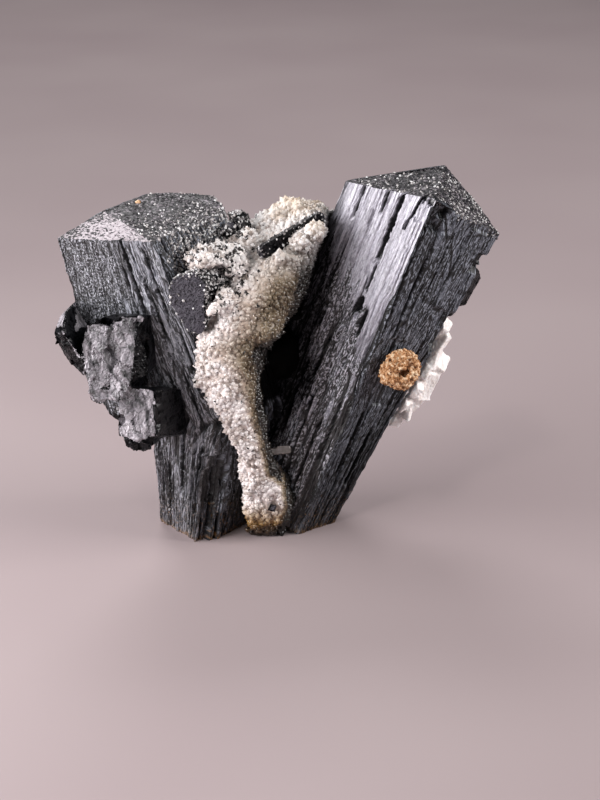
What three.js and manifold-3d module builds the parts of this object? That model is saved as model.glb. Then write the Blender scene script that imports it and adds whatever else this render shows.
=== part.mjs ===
// Ilvaite specimen: two thick striated ilvaite prisms that stand in a V, with a quartz crust between
// them, a cluster of broken ilvaite crystals on the left, and a small ball and a white crust on the
// right. Millimetres, +Z up, +X to the right, +Y to the back. It stands on the plane z = 0.
import * as THREE from 'three';
import { mergeVertices } from 'three/addons/utils/BufferGeometryUtils.js';
import Module from 'manifold-3d';

const wasm = await Module();
wasm.setup();

// Driving dimensions
const SPECIMEN_SHIFT = { x: -0.6, y: -5.4 }; // brings the middle of the foot plane to the origin
const GAP = 0.3; // clearance between neighbouring pieces
const STRIATION_WIDTH = 2.1; // mean width of one flat step on a prism face
const STRIATION_DEPTH = 0.45; // deepest step below the true prism face
const FLAT_START = { least: 0.12, spread: 0.2 }; // where a flat starts and ends, in shares of its step
const FLAT_END = { least: 0.78, spread: 0.1 };
const PRISM_OVERRUN = 0.1; // how far a prism runs past its corner points before it is cut, in lengths
const SLAT_ROOT = 1.5; // how deep a raised slat is rooted in its face
const HULL_ROOM = GAP + 0.45; // how far a prism's plain hull stands out, clear of its raised slats
const HULL_SCALE = 2.6; // growth of a rhombic section, in face widths, that moves its faces out by 1
const HULL_PARTS = 8; // parts of each side of a plain hull
const CORNER_GROWTH = 1.2; // how far the corners of a block's outline move out when its sides move out by 1
const CUTTER_SIZE = 200; // a cutting box, larger than the whole specimen
const SEEDS = { right: 21, left: 8, cluster: 5, druse: 33, ball: 17, crust: 12 };

// Corner points of the prisms: front, right, back and left edge at the foot and at the tip
const RIGHT_PRISM = {
  foot: { front: [3.5, 4.5, 0], right: [11.2, 9.6, 0], back: [6, 21.4, 0], left: [-12, 17.4, 0] },
  tip: {
    front: [27.2, -2, 67.8],
    right: [40.3, 10, 57.9],
    back: [30.9, 21, 68.1],
    left: [11.7, 10, 68],
  },
  face: 18, // mean width of a face
};
const LEFT_PRISM = {
  foot: { front: [-8.2, -3, 22.4], right: [2, 10, 21], back: [-9, 22, 21], left: [-30.6, 0, 21.4] },
  tip: {
    front: [-21.6, -6, 61.4],
    right: [-8.5, 8, 59.8],
    back: [-14.4, 25.8, 62.5],
    left: [-38.3, -3, 61.2],
  },
  face: 20,
};
const FOOT_PRISM = {
  foot: { front: [-14.1, -0.7, 0], right: [-5.5, 10.5, 0], back: [-14.5, 19, 0], left: [-23.2, 10.5, 0] },
  tip: {
    front: [-12.9, -4, 23.4],
    right: [-6.5, 6, 23.1],
    back: [-14, 17, 25],
    left: [-23.2, 2, 22.8],
  },
  face: 13,
};

// Sections as outlines of the unit square: front at 0,0, right at 1,0, back at 1,1, left at 0,1
const FULL_SECTION = [[0, 0], [1, 0], [1, 1], [0, 1]];
const BULGED_SECTION = [[0, 0], [1, 0], [1.07, 0.45], [1, 1], [0, 1]];
const BLUNT_BACK_SECTION = [[0, 0], [1, 0], [1, 0.42], [0.62, 1], [0, 1]];

// Facets that end the crystals, each through three points
const RIGHT_ROOF_LEFT = [[11.7, 10, 68], [27.2, -2, 67.8], [30.9, 21, 68.1]];
const RIGHT_ROOF_RIGHT = [[27.2, -2, 67.8], [40.3, 10, 57.9], [30.9, 21, 68.1]];
const LEFT_BRIGHT_FACET = [[-38.3, -3, 61.2], [-21.6, -6, 61.4], [-31.3, 6, 63.7]];
const LEFT_DUSTED_FACET = [[-21.6, -6, 61.4], [-31.3, 6, 63.7], [-16, 15.5, 64]];
const LEFT_BROKEN_END = [[-33.5, 0, 30], [-23.6, -2, 20.6], [-27, 14, 22]];

// Long slots along a prism: side, range across the face, range along the length, depth in mm
const RIGHT_SLOTS = [
  ['frontLeft', 0.3, 0.36, 0.8, 1.06, 1.6],
  ['frontLeft', 0.3, 0.34, 0.72, 0.8, 0.9],
  ['frontLeft', 0.47, 0.51, 0.93, 1.06, 1.1],
  ['frontLeft', 0.74, 0.78, 0.9, 1.06, 0.8],
  ['frontLeft', 0.29, 0.39, 0.66, 0.705, 2.0],
  ['frontLeft', 0.19, 0.25, 0.6, 0.68, 1.5],
  ['frontLeft', 0.5, 0.54, 0.45, 0.6, 0.9],
  ['frontLeft', 0.62, 0.66, 0.3, 0.52, 0.8],
  ['frontLeft', 0.1, 0.14, 0.2, 0.42, 0.9],
  ['frontLeft', 0.22, 0.27, 0.12, 0.36, 0.8],
  ['frontLeft', 0.4, 0.45, 0.16, 0.44, 0.9],
  ['frontLeft', -0.05, 0.05, 0.3, 0.465, 0.6],
  ['frontRight', -0.05, 0.13, 0.945, 1.08, 1.5],
  ['frontRight', 0.2, 0.26, 0.95, 1.08, 1.0],
  ['frontRight', 0.3, 0.36, 0.18, 0.4, 1.3],
  ['frontRight', 0.62, 0.7, 0.14, 0.34, 1.6],
  ['frontRight', 0.12, 0.16, 0.12, 0.3, 0.9],
  ['frontRight', 0.86, 1.05, 0.865, 0.93, 1.3],
  ['frontRight', 0.88, 1.05, 0.6, 0.74, 1.6],
  ['rightBack', 0.3, 0.36, 0.5, 0.8, 1.0],
  ['rightBack', 0.6, 0.68, 0.2, 0.6, 1.1],
  ['backLeft', 0.2, 0.27, 0.6, 0.9, 1.1],
  ['backLeft', 0.5, 0.56, 0.35, 0.7, 1.2],
  ['backLeft', 0.75, 0.8, 0.5, 0.85, 0.9],
];
const LEFT_SLOTS = [
  ['frontLeft', 0.33, 0.37, 0.62, 1.06, 1.0],
  ['frontLeft', 0.22, 0.25, 0.5, 0.86, 0.8],
  ['frontLeft', 0.12, 0.15, 0.62, 0.98, 0.8],
  ['frontLeft', 0.07, 0.1, 0.2, 0.6, 0.7],
  ['frontLeft', 0.18, 0.21, 0.0, 0.4, 0.9],
  ['frontLeft', 0.3, 0.34, 0.04, 0.36, 0.8],
  ['frontRight', 0.2, 0.26, 0.3, 0.9, 0.9],
  ['rightBack', 0.1, 0.2, 0.3, 0.8, 0.9],
  ['backLeft', 0.2, 0.26, 0.3, 0.9, 0.9],
  ['backLeft', 0.42, 0.5, 0.2, 0.7, 1.1],
];
const FOOT_SLOTS = [
  ['frontLeft', 0.2, 0.27, 0.2, 0.8, 0.7],
  ['frontLeft', 0.5, 0.56, 0.3, 0.95, 0.7],
  ['frontLeft', 0.74, 0.8, 0.1, 0.6, 0.6],
  ['frontRight', 0.15, 0.2, 0.1, 0.7, 0.6],
  ['frontRight', 0.44, 0.5, 0.15, 0.8, 0.7],
  ['frontRight', -0.05, 0.12, -0.05, 0.66, 1.2],
];

// Raised slats, the ends of thin crystals that lie along a face: as the slots, with a height in mm
const RIGHT_SLATS = [
  ['frontLeft', 0.03, 0.2, 0.49, 0.93, 0.3],
  ['frontLeft', 0.24, 0.35, 0.44, 0.665, 0.5],
  ['frontLeft', 0.55, 0.7, 0.56, 1.05, 0.3],
  ['frontLeft', 0.38, 0.46, 0.2, 0.62, 0.35],
  ['frontLeft', 0.14, 0.22, 0.06, 0.33, 0.35],
  ['frontRight', 0.25, 0.5, 0.62, 1.0, 0.35],
  ['frontRight', 0.62, 0.85, 0.74, 0.98, 0.4],
  ['frontRight', 0.4, 0.58, 0.1, 0.42, 0.45],
  ['rightBack', 0.1, 0.26, 0.2, 0.7, 0.4],
  ['rightBack', 0.4, 0.56, 0.4, 0.95, 0.4],
  ['backLeft', 0.3, 0.46, 0.3, 0.8, 0.45],
  ['backLeft', 0.6, 0.72, 0.5, 1.0, 0.4],
];
const LEFT_SLATS = [
  ['frontLeft', 0.02, 0.06, 0.3, 0.9, 0.3],
  ['frontLeft', 0.15, 0.2, 0.42, 0.8, 0.35],
  ['frontLeft', 0.26, 0.31, 0.3, 0.7, 0.35],
  ['frontLeft', 0.1, 0.16, 0.0, 0.44, 0.4],
  ['frontRight', 0.4, 0.6, 0.3, 0.9, 0.35],
  ['backLeft', 0.1, 0.18, 0.2, 0.8, 0.4],
  ['backLeft', 0.3, 0.4, 0.5, 1.0, 0.45],
];
const FOOT_SLATS = [
  ['frontLeft', 0.02, 0.16, 0.3, 1.0, 0.4],
  ['frontLeft', 0.34, 0.46, 0.1, 0.9, 0.35],
  ['frontRight', 0.24, 0.4, 0.2, 0.7, 0.35],
  ['backLeft', 0.3, 0.6, 0.0, 0.7, 0.4],
];

// Broken edges, each a row of chips from one point to another
const RIGHT_CHIPS = [{ from: [25.5, 9.4, 27], to: [11.8, 9.4, 1], count: 11, size: 1.8 }];
const LEFT_CHIPS = [
  { from: [-24, 9.5, 1], to: [-14, -1.5, 0.6], count: 6, size: 1.6 },
  { from: [-14, -1.5, 0.6], to: [-6, 9.5, 1], count: 5, size: 1.3 },
];
const CLUSTER_CHIPS = [
  { from: [-33.4, -13, 39], to: [-26.5, -13.6, 34], count: 4, size: 1.3 },
  { from: [-24.8, -13.6, 43], to: [-22.6, -13.8, 49], count: 3, size: 1.1 },
  { from: [-39, -9.4, 44], to: [-34.6, -9.6, 39], count: 3, size: 1.1 },
];
const CHIP_TILT = 1.2; // most that a chip is turned about X and Y, in radians
const CHIP_LEAST = 0.6; // least width and depth of a chip, in its size

// Side cluster: each block is a broken end, an outline across x and z, from its front back into the
// crystal, which drifts sideways and down on the way
const CLUSTER_BLOCKS = [
  {
    outline: [
      [-39.6, 45.8], [-38.9, 48.2], [-37.3, 49.6], [-33.6, 49.4],
      [-33.4, 42.7], [-35, 37], [-38.4, 40.2], [-39.6, 44.4],
    ],
    front: -12,
    back: 1,
    drift: { x: 1.3, z: -1.3 },
    facets: [
      [[-38.9, -8, 45.5], [-36.9, -7, 48.6], [-37.1, -11, 46.2]],
      [[-36.9, -7, 48.6], [-37.1, -11, 46.2], [-34.2, -8.5, 42.5]],
      [[-37.1, -11, 46.2], [-35.2, -10.5, 42.8], [-35.1, -6, 36.8]],
    ],
  },
  {
    outline: [
      [-34.6, 48.2], [-33.2, 49], [-31.2, 50.2], [-26, 50], [-26.4, 46.8], [-26.6, 42], [-26.6, 36.4],
      [-28.3, 35], [-32.5, 34.8], [-34.4, 39.6], [-35.2, 44.2],
    ],
    front: -14,
    back: 1,
    drift: { x: 4.2, z: -4 },
    facets: [[[-24.4, -8.5, 48.4], [-26.3, -12, 35.9], [-33.6, -10.5, 43.2]]],
  },
  {
    outline: [[-28.9, 36.6], [-26.4, 37.2], [-22.6, 36.6], [-21.9, 27.8], [-25, 27.2], [-28.4, 27.9]],
    front: -13.4,
    back: 0,
    drift: { x: 7.4, z: -5 },
    facets: [[[-24.9, -11.5, 35.9], [-25.1, -13, 27.8], [-21.8, -12.2, 31.7]]],
  },
  {
    outline: [[-28.4, 28.4], [-22.2, 28.2], [-22.6, 24.6], [-25, 23.4], [-27.6, 24.2]],
    front: -11,
    back: -0.5,
    drift: { x: 3, z: -1 },
    facets: [[[-28.6, -9.6, 26], [-22, -10.8, 28], [-24, -9.4, 23.4]]],
  },
  {
    outline: [[-33.2, 36], [-30.6, 36.6], [-29.8, 34.2], [-31.4, 33.2], [-33, 34]],
    front: -12.6,
    back: -4,
    drift: { x: 2, z: 0 },
    facets: [[[-33.2, -12, 35], [-29.8, -12.4, 35], [-31.4, -11.8, 33.2]]],
  },
];
const CLUSTER_NOTCH = { centre: [-29.4, -9.6, 49.6], size: [4.4, 5, 2.6], turn: [0.1, 0.3, 0.25] };

// Middle crystal: its end outline across x and z, and the way that it runs back into the quartz
const MIDDLE_CRYSTAL = {
  outline: [
    [-19.2, 51.4], [-17.9, 55], [-13.9, 56.4], [-11.5, 54], [-11.7, 50.7], [-11.5, 44.9], [-14.8, 45.3],
  ],
  front: -7,
  back: 7,
  drift: { x: 8.6, z: -0.6 },
  facets: [[[-19.2, -5.8, 51.4], [-11.4, -7, 50], [-14, -6.2, 56.4]]],
};

// Small rhombic crystals: middle, half diagonals of the section, half length, axis and turn
const KNOB = { middle: [-7.6, 9.4, 58], across: [3.4, 2.7], half: 4.2, axis: [-0.25, 0.1, 1], turn: 0.4 };
const KNOB_TWIN = {
  middle: [-9.6, 7, 58.4],
  across: [2.4, 2],
  half: 2.9,
  axis: [0.35, -0.3, 0.9],
  turn: 1.1,
};
const BLADE = {
  middle: [2.5, 4.5, 59.5],
  across: [2.2, 1.7],
  half: 6.9,
  axis: [0.8, 0.44, 0.36],
  turn: 1.1,
};
const BACK_CRYSTAL = {
  middle: [34.6, 14.6, 47.2],
  across: [3.2, 2.8],
  half: 4,
  axis: [0.5, 0.35, 0.8],
  turn: 0.3,
};
const BRIDGE = {
  middle: [-0.4, 4.8, 17.4],
  across: [0.85, 0.8],
  half: 2.7,
  axis: [1, 0.12, 0.02],
  turn: 0.5,
};
const FOOT_CRYSTAL = {
  middle: [-1.4, -1.4, 5.6],
  across: [1, 0.9],
  half: 0.9,
  axis: [0.2, -1, 0.5],
  turn: 0.6,
};

const END_CHAMFER = { rise: 0.35, inset: 0.3 }; // in half diagonals of the section

// Quartz druse. Its ridge is a stack of level rings from the foot to the top of the hill: middle,
// long and short radius, and the turn of the long one from +X towards +Y in degrees
const DRUSE_RIDGE = [
  [-2.1, 3.4, -2, 4.2, 4, 0], [-2, 2.8, 4, 4, 3.9, 0], [-2.2, 2.2, 9, 3.9, 3.8, 0],
  [-2.9, 1.4, 12.6, 3.5, 3.4, 0],
  [-4.4, 0, 17.3, 2.9, 2.9, 0], [-5.7, -1.2, 22.5, 3.3, 3.3, 0], [-6.9, -2, 27.2, 3.9, 3.9, 0],
  [-8.2, -2.3, 31.6, 4.7, 4.7, 20], [-9, -2.2, 35.6, 5.6, 5.2, 40], [-8, -0.8, 39.4, 7.4, 5.6, 45],
  [-6.4, 0.8, 43, 9.2, 6, 45], [-4.8, 1.6, 46.4, 9, 6.3, 45], [-3, 2.6, 49.6, 8.4, 6.5, 45],
  [-1, 4.3, 52.8, 7.6, 6.4, 45], [1.2, 6.6, 55.6, 6.8, 6, 45], [3.4, 9, 58.2, 5.8, 5.2, 45],
  [5, 11.2, 60.6, 4.4, 4, 45], [5.4, 12.4, 62.6, 2.4, 2.2, 45],
];
const RIDGE_SIDES = 14;
const RIDGE_ROUGHNESS = 0.14; // share of the radius by which a corner of the ridge goes in or out

// Lumps on the ridge and, as fill, behind it: middle and radius
const DRUSE_LUMPS = [
  [-9.6, 1.6, 54.6, 4.2], [-13, -2, 56.6, 2.8], [-6.4, 6.4, 55.6, 4.2], [3.3, 15, 59.8, 3.2],
  [6.6, 14.6, 60.2, 3.1], [-1.6, 13, 57, 3.6], [-4.4, 5.4, 2.6, 3.4], [-10.6, -3.8, 50, 3],
  [1.2, 2.2, 47.8, 2.6], [-2.4, -3.4, 44.6, 3], [-11.6, -5.2, 38.6, 2.4],
];
const DRUSE_FILL = [
  [1.6, 12, 53.4, 6.8], [0.2, 14.6, 46.4, 7.4], [-6, 16.6, 37, 6], [-7.4, 16.6, 26, 6], [-8.6, 16, 12, 6.6],
  [3, 16, 54.4, 5], [-3.4, 9, 7, 6.6], [-1, 17.8, 41, 4.4],
];
const LUMP_DETAIL = 1; // how finely a lump is faceted
const LUMP_ROUGHNESS = 0.16;
const DRUSE_CRYSTAL = {
  smallest: 0.7,
  largest: 1.3,
  spread: 0.016, // crystals per mm2
  seat: 0.94, // where a crystal is seated, in radii of its lump
  cover: 0.86, // a spot nearer than this to another middle, in radii, is inside the druse
  lean: 0.9,
  root: 2, // in radii of the crystal: depth under its seat, height of the prism over it, and of the tip
  stand: 0.5,
  tip: 1.3,
};
const QUARTZ_SIDES = 6;

// Granular ball with a crack in its middle
const BALL = { middle: [22.1, 3.2, 34.5], radius: 4.15, roughness: 0.32, detail: 2 };
const BALL_CRACK = { middle: [22.9, -0.9, 34.8], size: [2.3, 2.6, 1.3], turn: [0.2, 0.1, 0.5] };

// White crust: blocky crystals on the back right face of the right crystal, middle and size
const CRUST_BLOCKS = [
  [31.6, 14, 38.8, 3.4], [31.8, 14.8, 35.6, 3.8], [30.2, 14.2, 32.6, 4], [30.8, 15.4, 29.8, 3.8],
  [29.4, 14.8, 27.2, 3.8], [28.4, 15, 24.6, 3.7], [26.6, 15, 22.2, 3.4], [24.8, 15, 19.6, 3],
  [23, 14.8, 17.6, 2.5], [29, 17.6, 37, 4.4], [28, 18.4, 32.4, 4.6], [26.2, 18.2, 27.6, 4.2],
  [23.6, 17.8, 23, 3.6], [28.2, 12.2, 30, 3.2], [26.6, 12.4, 26, 3], [25.6, 19.4, 40.4, 3.6],
  [24.6, 12.6, 22.2, 2.6],
];
const CRUST_OUTER = [0.85, 0.45, 0.12]; // the way out from the crystal's face
const CRUST_SINK = 1.2; // how far each block is sunk against that way
const CRUST_SHEAR = [0.25, 0, 0, 0.2, 0, 0.15]; // slants a box to a calcite block
const CRUST_TILT = 0.9; // most that a block is turned about X and Y, and about Z, in radians
const CRUST_TURN = 1.4;
const CRUST_STRETCH = { depth: 0.8, height: 0.9, spread: 0.4 }; // in the size of a block

// A repeatable stream of numbers between 0 and 1
function randomStream(seed) {
  let state = seed;
  return () => {
    state = (state + 0x6d2b79f5) | 0;
    let t = Math.imul(state ^ (state >>> 15), 1 | state);
    t = (t + Math.imul(t ^ (t >>> 7), 61 | t)) ^ t;
    return ((t ^ (t >>> 14)) >>> 0) / 4294967296;
  };
}

function solidOf(geometry) {
  const bare = geometry.clone();
  bare.deleteAttribute('normal');
  bare.deleteAttribute('uv');
  const merged = mergeVertices(bare, 1e-4);
  return new wasm.Manifold(new wasm.Mesh({
    numProp: 3,
    vertProperties: merged.attributes.position.array,
    triVerts: new Uint32Array(merged.index.array),
  }));
}

function geometryOf(solid) {
  const mesh = solid.getMesh();
  const indexed = new THREE.BufferGeometry();
  indexed.setAttribute('position', new THREE.BufferAttribute(mesh.vertProperties, 3));
  indexed.setIndex(new THREE.BufferAttribute(mesh.triVerts, 1));
  const flat = indexed.toNonIndexed();
  flat.computeVertexNormals();
  return flat;
}

function bend(geometry, place) {
  const position = geometry.attributes.position;
  const point = new THREE.Vector3();
  for (let i = 0; i < position.count; i += 1) {
    point.fromBufferAttribute(position, i);
    place(point);
    position.setXYZ(i, point.x, point.y, point.z);
  }
  return geometry;
}

const UP = new THREE.Vector3(0, 0, 1);
const vector = (list) => new THREE.Vector3(...list);

// Takes a point of the unit block to the fanned prism: across, back and up go to its four edges
function placeInPrism(prism) {
  const at = (end, across, deep) => {
    const front = vector(prism[end].front).lerp(vector(prism[end].right), across);
    const rear = vector(prism[end].left).lerp(vector(prism[end].back), across);
    return front.lerp(rear, deep);
  };
  return (point) => {
    const foot = at('foot', point.x, point.y);
    const tip = at('tip', point.x, point.y);
    point.copy(foot.lerp(tip, point.z));
  };
}

// The outline of a striated prism: each side is a row of flats that step in and out
function striatedOutline(section, prism, random) {
  const points = [];
  section.forEach((corner, index) => {
    const start = new THREE.Vector2(...corner);
    const end = new THREE.Vector2(...section[(index + 1) % section.length]);
    const along = end.clone().sub(start);
    const inward = new THREE.Vector2(-along.y, along.x).normalize();
    const flats = Math.max(3, Math.round((along.length() * prism.face) / STRIATION_WIDTH));
    for (let flat = 0; flat < flats; flat += 1) {
      const edge = flat === 0 || flat === flats - 1;
      const level = edge ? 0 : (STRIATION_DEPTH * random()) / prism.face;
      const from = flat === 0 ? 0 : (flat + FLAT_START.least + FLAT_START.spread * random()) / flats;
      const to = (flat + FLAT_END.least + FLAT_END.spread * random()) / flats;
      for (const t of [from, to]) {
        points.push(start.clone().addScaledVector(along, t).addScaledVector(inward, level));
      }
    }
  });
  return points;
}

// The same outline without striations, for the room that a prism needs: its sides are subdivided
// because the faces of a fanned prism are slightly twisted
function plainOutline(section, prism, grow) {
  const scale = 1 + (HULL_SCALE * grow) / prism.face;
  const points = [];
  section.forEach((corner, index) => {
    const start = new THREE.Vector2(...corner);
    const end = new THREE.Vector2(...section[(index + 1) % section.length]);
    for (let i = 0; i < HULL_PARTS; i += 1) points.push(start.clone().lerp(end, i / HULL_PARTS));
  });
  return points.map((point) => point.subScalar(0.5).multiplyScalar(scale).addScalar(0.5));
}

function prismSolid(outline, prism) {
  const block = new THREE.ExtrudeGeometry(new THREE.Shape(outline), {
    depth: 1 + 2 * PRISM_OVERRUN,
    steps: 1,
    bevelEnabled: false,
  });
  block.translate(0, 0, -PRISM_OVERRUN);
  return solidOf(bend(block, placeInPrism(prism)));
}

// The unit-block ranges of a strip along one side of a prism, from below its face to above it
function stripRanges(prism, [side, from, to, low, high], below, above) {
  const deep = below / prism.face;
  const proud = above / prism.face;
  const ranges = {
    frontLeft: [-proud, deep, from, to],
    frontRight: [from, to, -proud, deep],
    rightBack: [1 - deep, 1 + proud, from, to],
    backLeft: [from, to, 1 - deep, 1 + proud],
  };
  return [...ranges[side], low, high];
}

function fitToRanges(geometry, prism, [x0, x1, y0, y1, z0, z1]) {
  geometry.scale(x1 - x0, y1 - y0, z1 - z0);
  geometry.translate((x0 + x1) / 2, (y0 + y1) / 2, (z0 + z1) / 2);
  return solidOf(bend(geometry, placeInPrism(prism)));
}

// A slat's box is rooted in the prism and stands out by its height
function slatSolid(prism, slat) {
  return fitToRanges(new THREE.BoxGeometry(1, 1, 1), prism, stripRanges(prism, slat, SLAT_ROOT, slat[5]));
}

// A slot's cutter is a long double pyramid centred on the face, so that the slot runs out to points
function slotSolid(prism, slot) {
  const cutter = new THREE.OctahedronGeometry(0.5, 0);
  return fitToRanges(cutter, prism, stripRanges(prism, slot, slot[5], slot[5]));
}

function addDetail(solid, prism, slots, slats) {
  let made = solid;
  for (const slat of slats) made = made.add(slatSolid(prism, slat));
  for (const slot of slots) made = made.subtract(slotSolid(prism, slot));
  return made;
}

// Everything beyond the plane through three points, on the side away from the middle of the piece
function beyond(points, middle, grow = 0) {
  const [a, b, c] = points.map(vector);
  const plane = new THREE.Plane().setFromCoplanarPoints(a, b, c);
  if (plane.distanceToPoint(middle) > 0) plane.negate();
  const box = new THREE.BoxGeometry(CUTTER_SIZE, CUTTER_SIZE, CUTTER_SIZE);
  box.translate(0, 0, CUTTER_SIZE / 2 + grow);
  box.applyQuaternion(new THREE.Quaternion().setFromUnitVectors(UP, plane.normal));
  box.translate(a.x, a.y, a.z);
  return solidOf(box);
}

// Everything under the plane that the specimen rests on
function underFoot() {
  const box = new THREE.BoxGeometry(CUTTER_SIZE, CUTTER_SIZE, CUTTER_SIZE);
  box.translate(0, 0, -CUTTER_SIZE / 2);
  return solidOf(box);
}

// Small angular chips knocked out along a broken edge
function chipAlong(solid, { from, to, count, size }, random) {
  let made = solid;
  for (let i = 0; i < count; i += 1) {
    const [width, depth, height] = [CHIP_LEAST + random(), CHIP_LEAST + random(), 1 + 2 * random()];
    const chip = new THREE.BoxGeometry(size * width, size * depth, size * height);
    chip.rotateX(random() * CHIP_TILT);
    chip.rotateY(random() * CHIP_TILT);
    chip.rotateZ(random() * Math.PI);
    const spot = vector(from).lerp(vector(to), (i + random()) / count);
    chip.translate(spot.x, spot.y, spot.z);
    made = made.subtract(solidOf(chip));
  }
  return made;
}

const RIGHT_MIDDLE = new THREE.Vector3(16, 10, 36);
const LEFT_MIDDLE = new THREE.Vector3(-18, 6, 40);

function rightCrystalHull(grow) {
  return prismSolid(plainOutline(BULGED_SECTION, RIGHT_PRISM, grow), RIGHT_PRISM)
    .subtract(beyond(RIGHT_ROOF_LEFT, RIGHT_MIDDLE, grow))
    .subtract(beyond(RIGHT_ROOF_RIGHT, RIGHT_MIDDLE, grow));
}

function leftCrystalHull(grow) {
  const upper = prismSolid(plainOutline(BLUNT_BACK_SECTION, LEFT_PRISM, grow), LEFT_PRISM)
    .subtract(beyond(LEFT_BRIGHT_FACET, LEFT_MIDDLE, grow))
    .subtract(beyond(LEFT_DUSTED_FACET, LEFT_MIDDLE, grow))
    .subtract(beyond(LEFT_BROKEN_END, LEFT_MIDDLE, grow));
  return upper.add(prismSolid(plainOutline(FULL_SECTION, FOOT_PRISM, grow), FOOT_PRISM));
}

function rightCrystal() {
  const random = randomStream(SEEDS.right);
  const outline = striatedOutline(BULGED_SECTION, RIGHT_PRISM, random);
  let crystal = addDetail(prismSolid(outline, RIGHT_PRISM), RIGHT_PRISM, RIGHT_SLOTS, RIGHT_SLATS);
  crystal = crystal
    .subtract(beyond(RIGHT_ROOF_LEFT, RIGHT_MIDDLE))
    .subtract(beyond(RIGHT_ROOF_RIGHT, RIGHT_MIDDLE));
  for (const chips of RIGHT_CHIPS) crystal = chipAlong(crystal, chips, random);
  return crystal.subtract(underFoot());
}

function leftCrystal() {
  const random = randomStream(SEEDS.left);
  const outline = striatedOutline(BLUNT_BACK_SECTION, LEFT_PRISM, random);
  const upper = addDetail(prismSolid(outline, LEFT_PRISM), LEFT_PRISM, LEFT_SLOTS, LEFT_SLATS)
    .subtract(beyond(LEFT_BRIGHT_FACET, LEFT_MIDDLE))
    .subtract(beyond(LEFT_DUSTED_FACET, LEFT_MIDDLE))
    .subtract(beyond(LEFT_BROKEN_END, LEFT_MIDDLE));
  const footOutline = striatedOutline(FULL_SECTION, FOOT_PRISM, random);
  const foot = addDetail(prismSolid(footOutline, FOOT_PRISM), FOOT_PRISM, FOOT_SLOTS, FOOT_SLATS);
  let crystal = upper.add(foot);
  for (const chips of LEFT_CHIPS) crystal = chipAlong(crystal, chips, random);
  return crystal.subtract(rightCrystalHull(HULL_ROOM)).subtract(underFoot());
}

// A block whose outline lies across x and z and runs from its front to its back
function blockSolid({ outline, front, back, drift, facets }, grow = 0) {
  const middle = outline.reduce((sum, [x, z]) => sum.add(new THREE.Vector2(x, z)), new THREE.Vector2());
  middle.divideScalar(outline.length);
  const shape = new THREE.Shape(outline.map(([x, z]) => {
    const out = new THREE.Vector2(x, z).sub(middle);
    return middle.clone().addScaledVector(out, 1 + (CORNER_GROWTH * grow) / out.length());
  }));
  const block = new THREE.ExtrudeGeometry(shape, { depth: 1, steps: 1, bevelEnabled: false });
  const depth = back - front + 2 * grow;
  bend(block, (point) => {
    const run = 1 - point.z;
    point.set(point.x + drift.x * run, front - grow + depth * run, point.y + drift.z * run);
  });
  const centre = new THREE.Vector3(middle.x + drift.x / 2, (front + back) / 2, middle.y + drift.z / 2);
  return facets.reduce((solid, facet) => solid.subtract(beyond(facet, centre, grow)), solidOf(block));
}

function sideCluster() {
  const random = randomStream(SEEDS.cluster);
  let cluster = blockSolid(CLUSTER_BLOCKS[0]);
  for (const block of CLUSTER_BLOCKS.slice(1)) cluster = cluster.add(blockSolid(block));
  const notch = new THREE.BoxGeometry(...CLUSTER_NOTCH.size);
  notch.applyMatrix4(new THREE.Matrix4().makeRotationFromEuler(new THREE.Euler(...CLUSTER_NOTCH.turn)));
  notch.translate(...CLUSTER_NOTCH.centre);
  cluster = cluster.subtract(solidOf(notch));
  for (const chips of CLUSTER_CHIPS) cluster = chipAlong(cluster, chips, random);
  return cluster.subtract(leftCrystalHull(HULL_ROOM));
}

function middleCrystal(grow = 0) {
  return blockSolid(MIDDLE_CRYSTAL, grow);
}

// A small rhombic crystal whose two ends are chamfered
function smallCrystal({ middle, across, half, axis, turn }, grow = 0) {
  const [wide, narrow] = across.map((size) => size + grow);
  const outline = [[wide, 0], [0, narrow], [-wide, 0], [0, -narrow]];
  const shape = new THREE.Shape(outline.map(([x, y]) => new THREE.Vector2(x, y)));
  const rise = END_CHAMFER.rise * wide;
  const inset = END_CHAMFER.inset * narrow;
  const length = 2 * (half + grow - rise);
  const block = new THREE.ExtrudeGeometry(shape, {
    depth: length,
    steps: 1,
    bevelEnabled: true,
    bevelSegments: 1,
    bevelThickness: rise,
    bevelSize: inset,
    bevelOffset: -inset,
  });
  block.translate(0, 0, -length / 2);
  block.rotateZ(turn);
  block.applyQuaternion(new THREE.Quaternion().setFromUnitVectors(UP, vector(axis).normalize()));
  block.translate(...middle);
  return solidOf(block);
}

// A quartz crystal, a six-sided prism under a pyramid, that points along a direction
function quartzCrystal(spot, direction, radius) {
  const { root, stand, tip } = DRUSE_CRYSTAL;
  const profile = [[0, -root], [1, -root], [1, stand], [0, stand + tip]];
  const outline = profile.map(([x, y]) => new THREE.Vector2(x * radius, y * radius));
  const crystal = new THREE.LatheGeometry(outline, QUARTZ_SIDES);
  crystal.applyQuaternion(new THREE.Quaternion().setFromUnitVectors(new THREE.Vector3(0, 1, 0), direction));
  crystal.translate(spot.x, spot.y, spot.z);
  return solidOf(crystal);
}

// A geometry whose shared corners are one, so that each can be moved once
function joined(geometry) {
  geometry.deleteAttribute('normal');
  geometry.deleteAttribute('uv');
  return mergeVertices(geometry);
}

function roughLump([x, y, z, radius], random) {
  const lump = joined(new THREE.IcosahedronGeometry(radius, LUMP_DETAIL));
  bend(lump, (point) => point.multiplyScalar(1 + LUMP_ROUGHNESS * (random() - 0.5)));
  lump.rotateX(random() * Math.PI);
  lump.rotateY(random() * Math.PI);
  lump.translate(x, y, z);
  return solidOf(lump);
}

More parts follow.
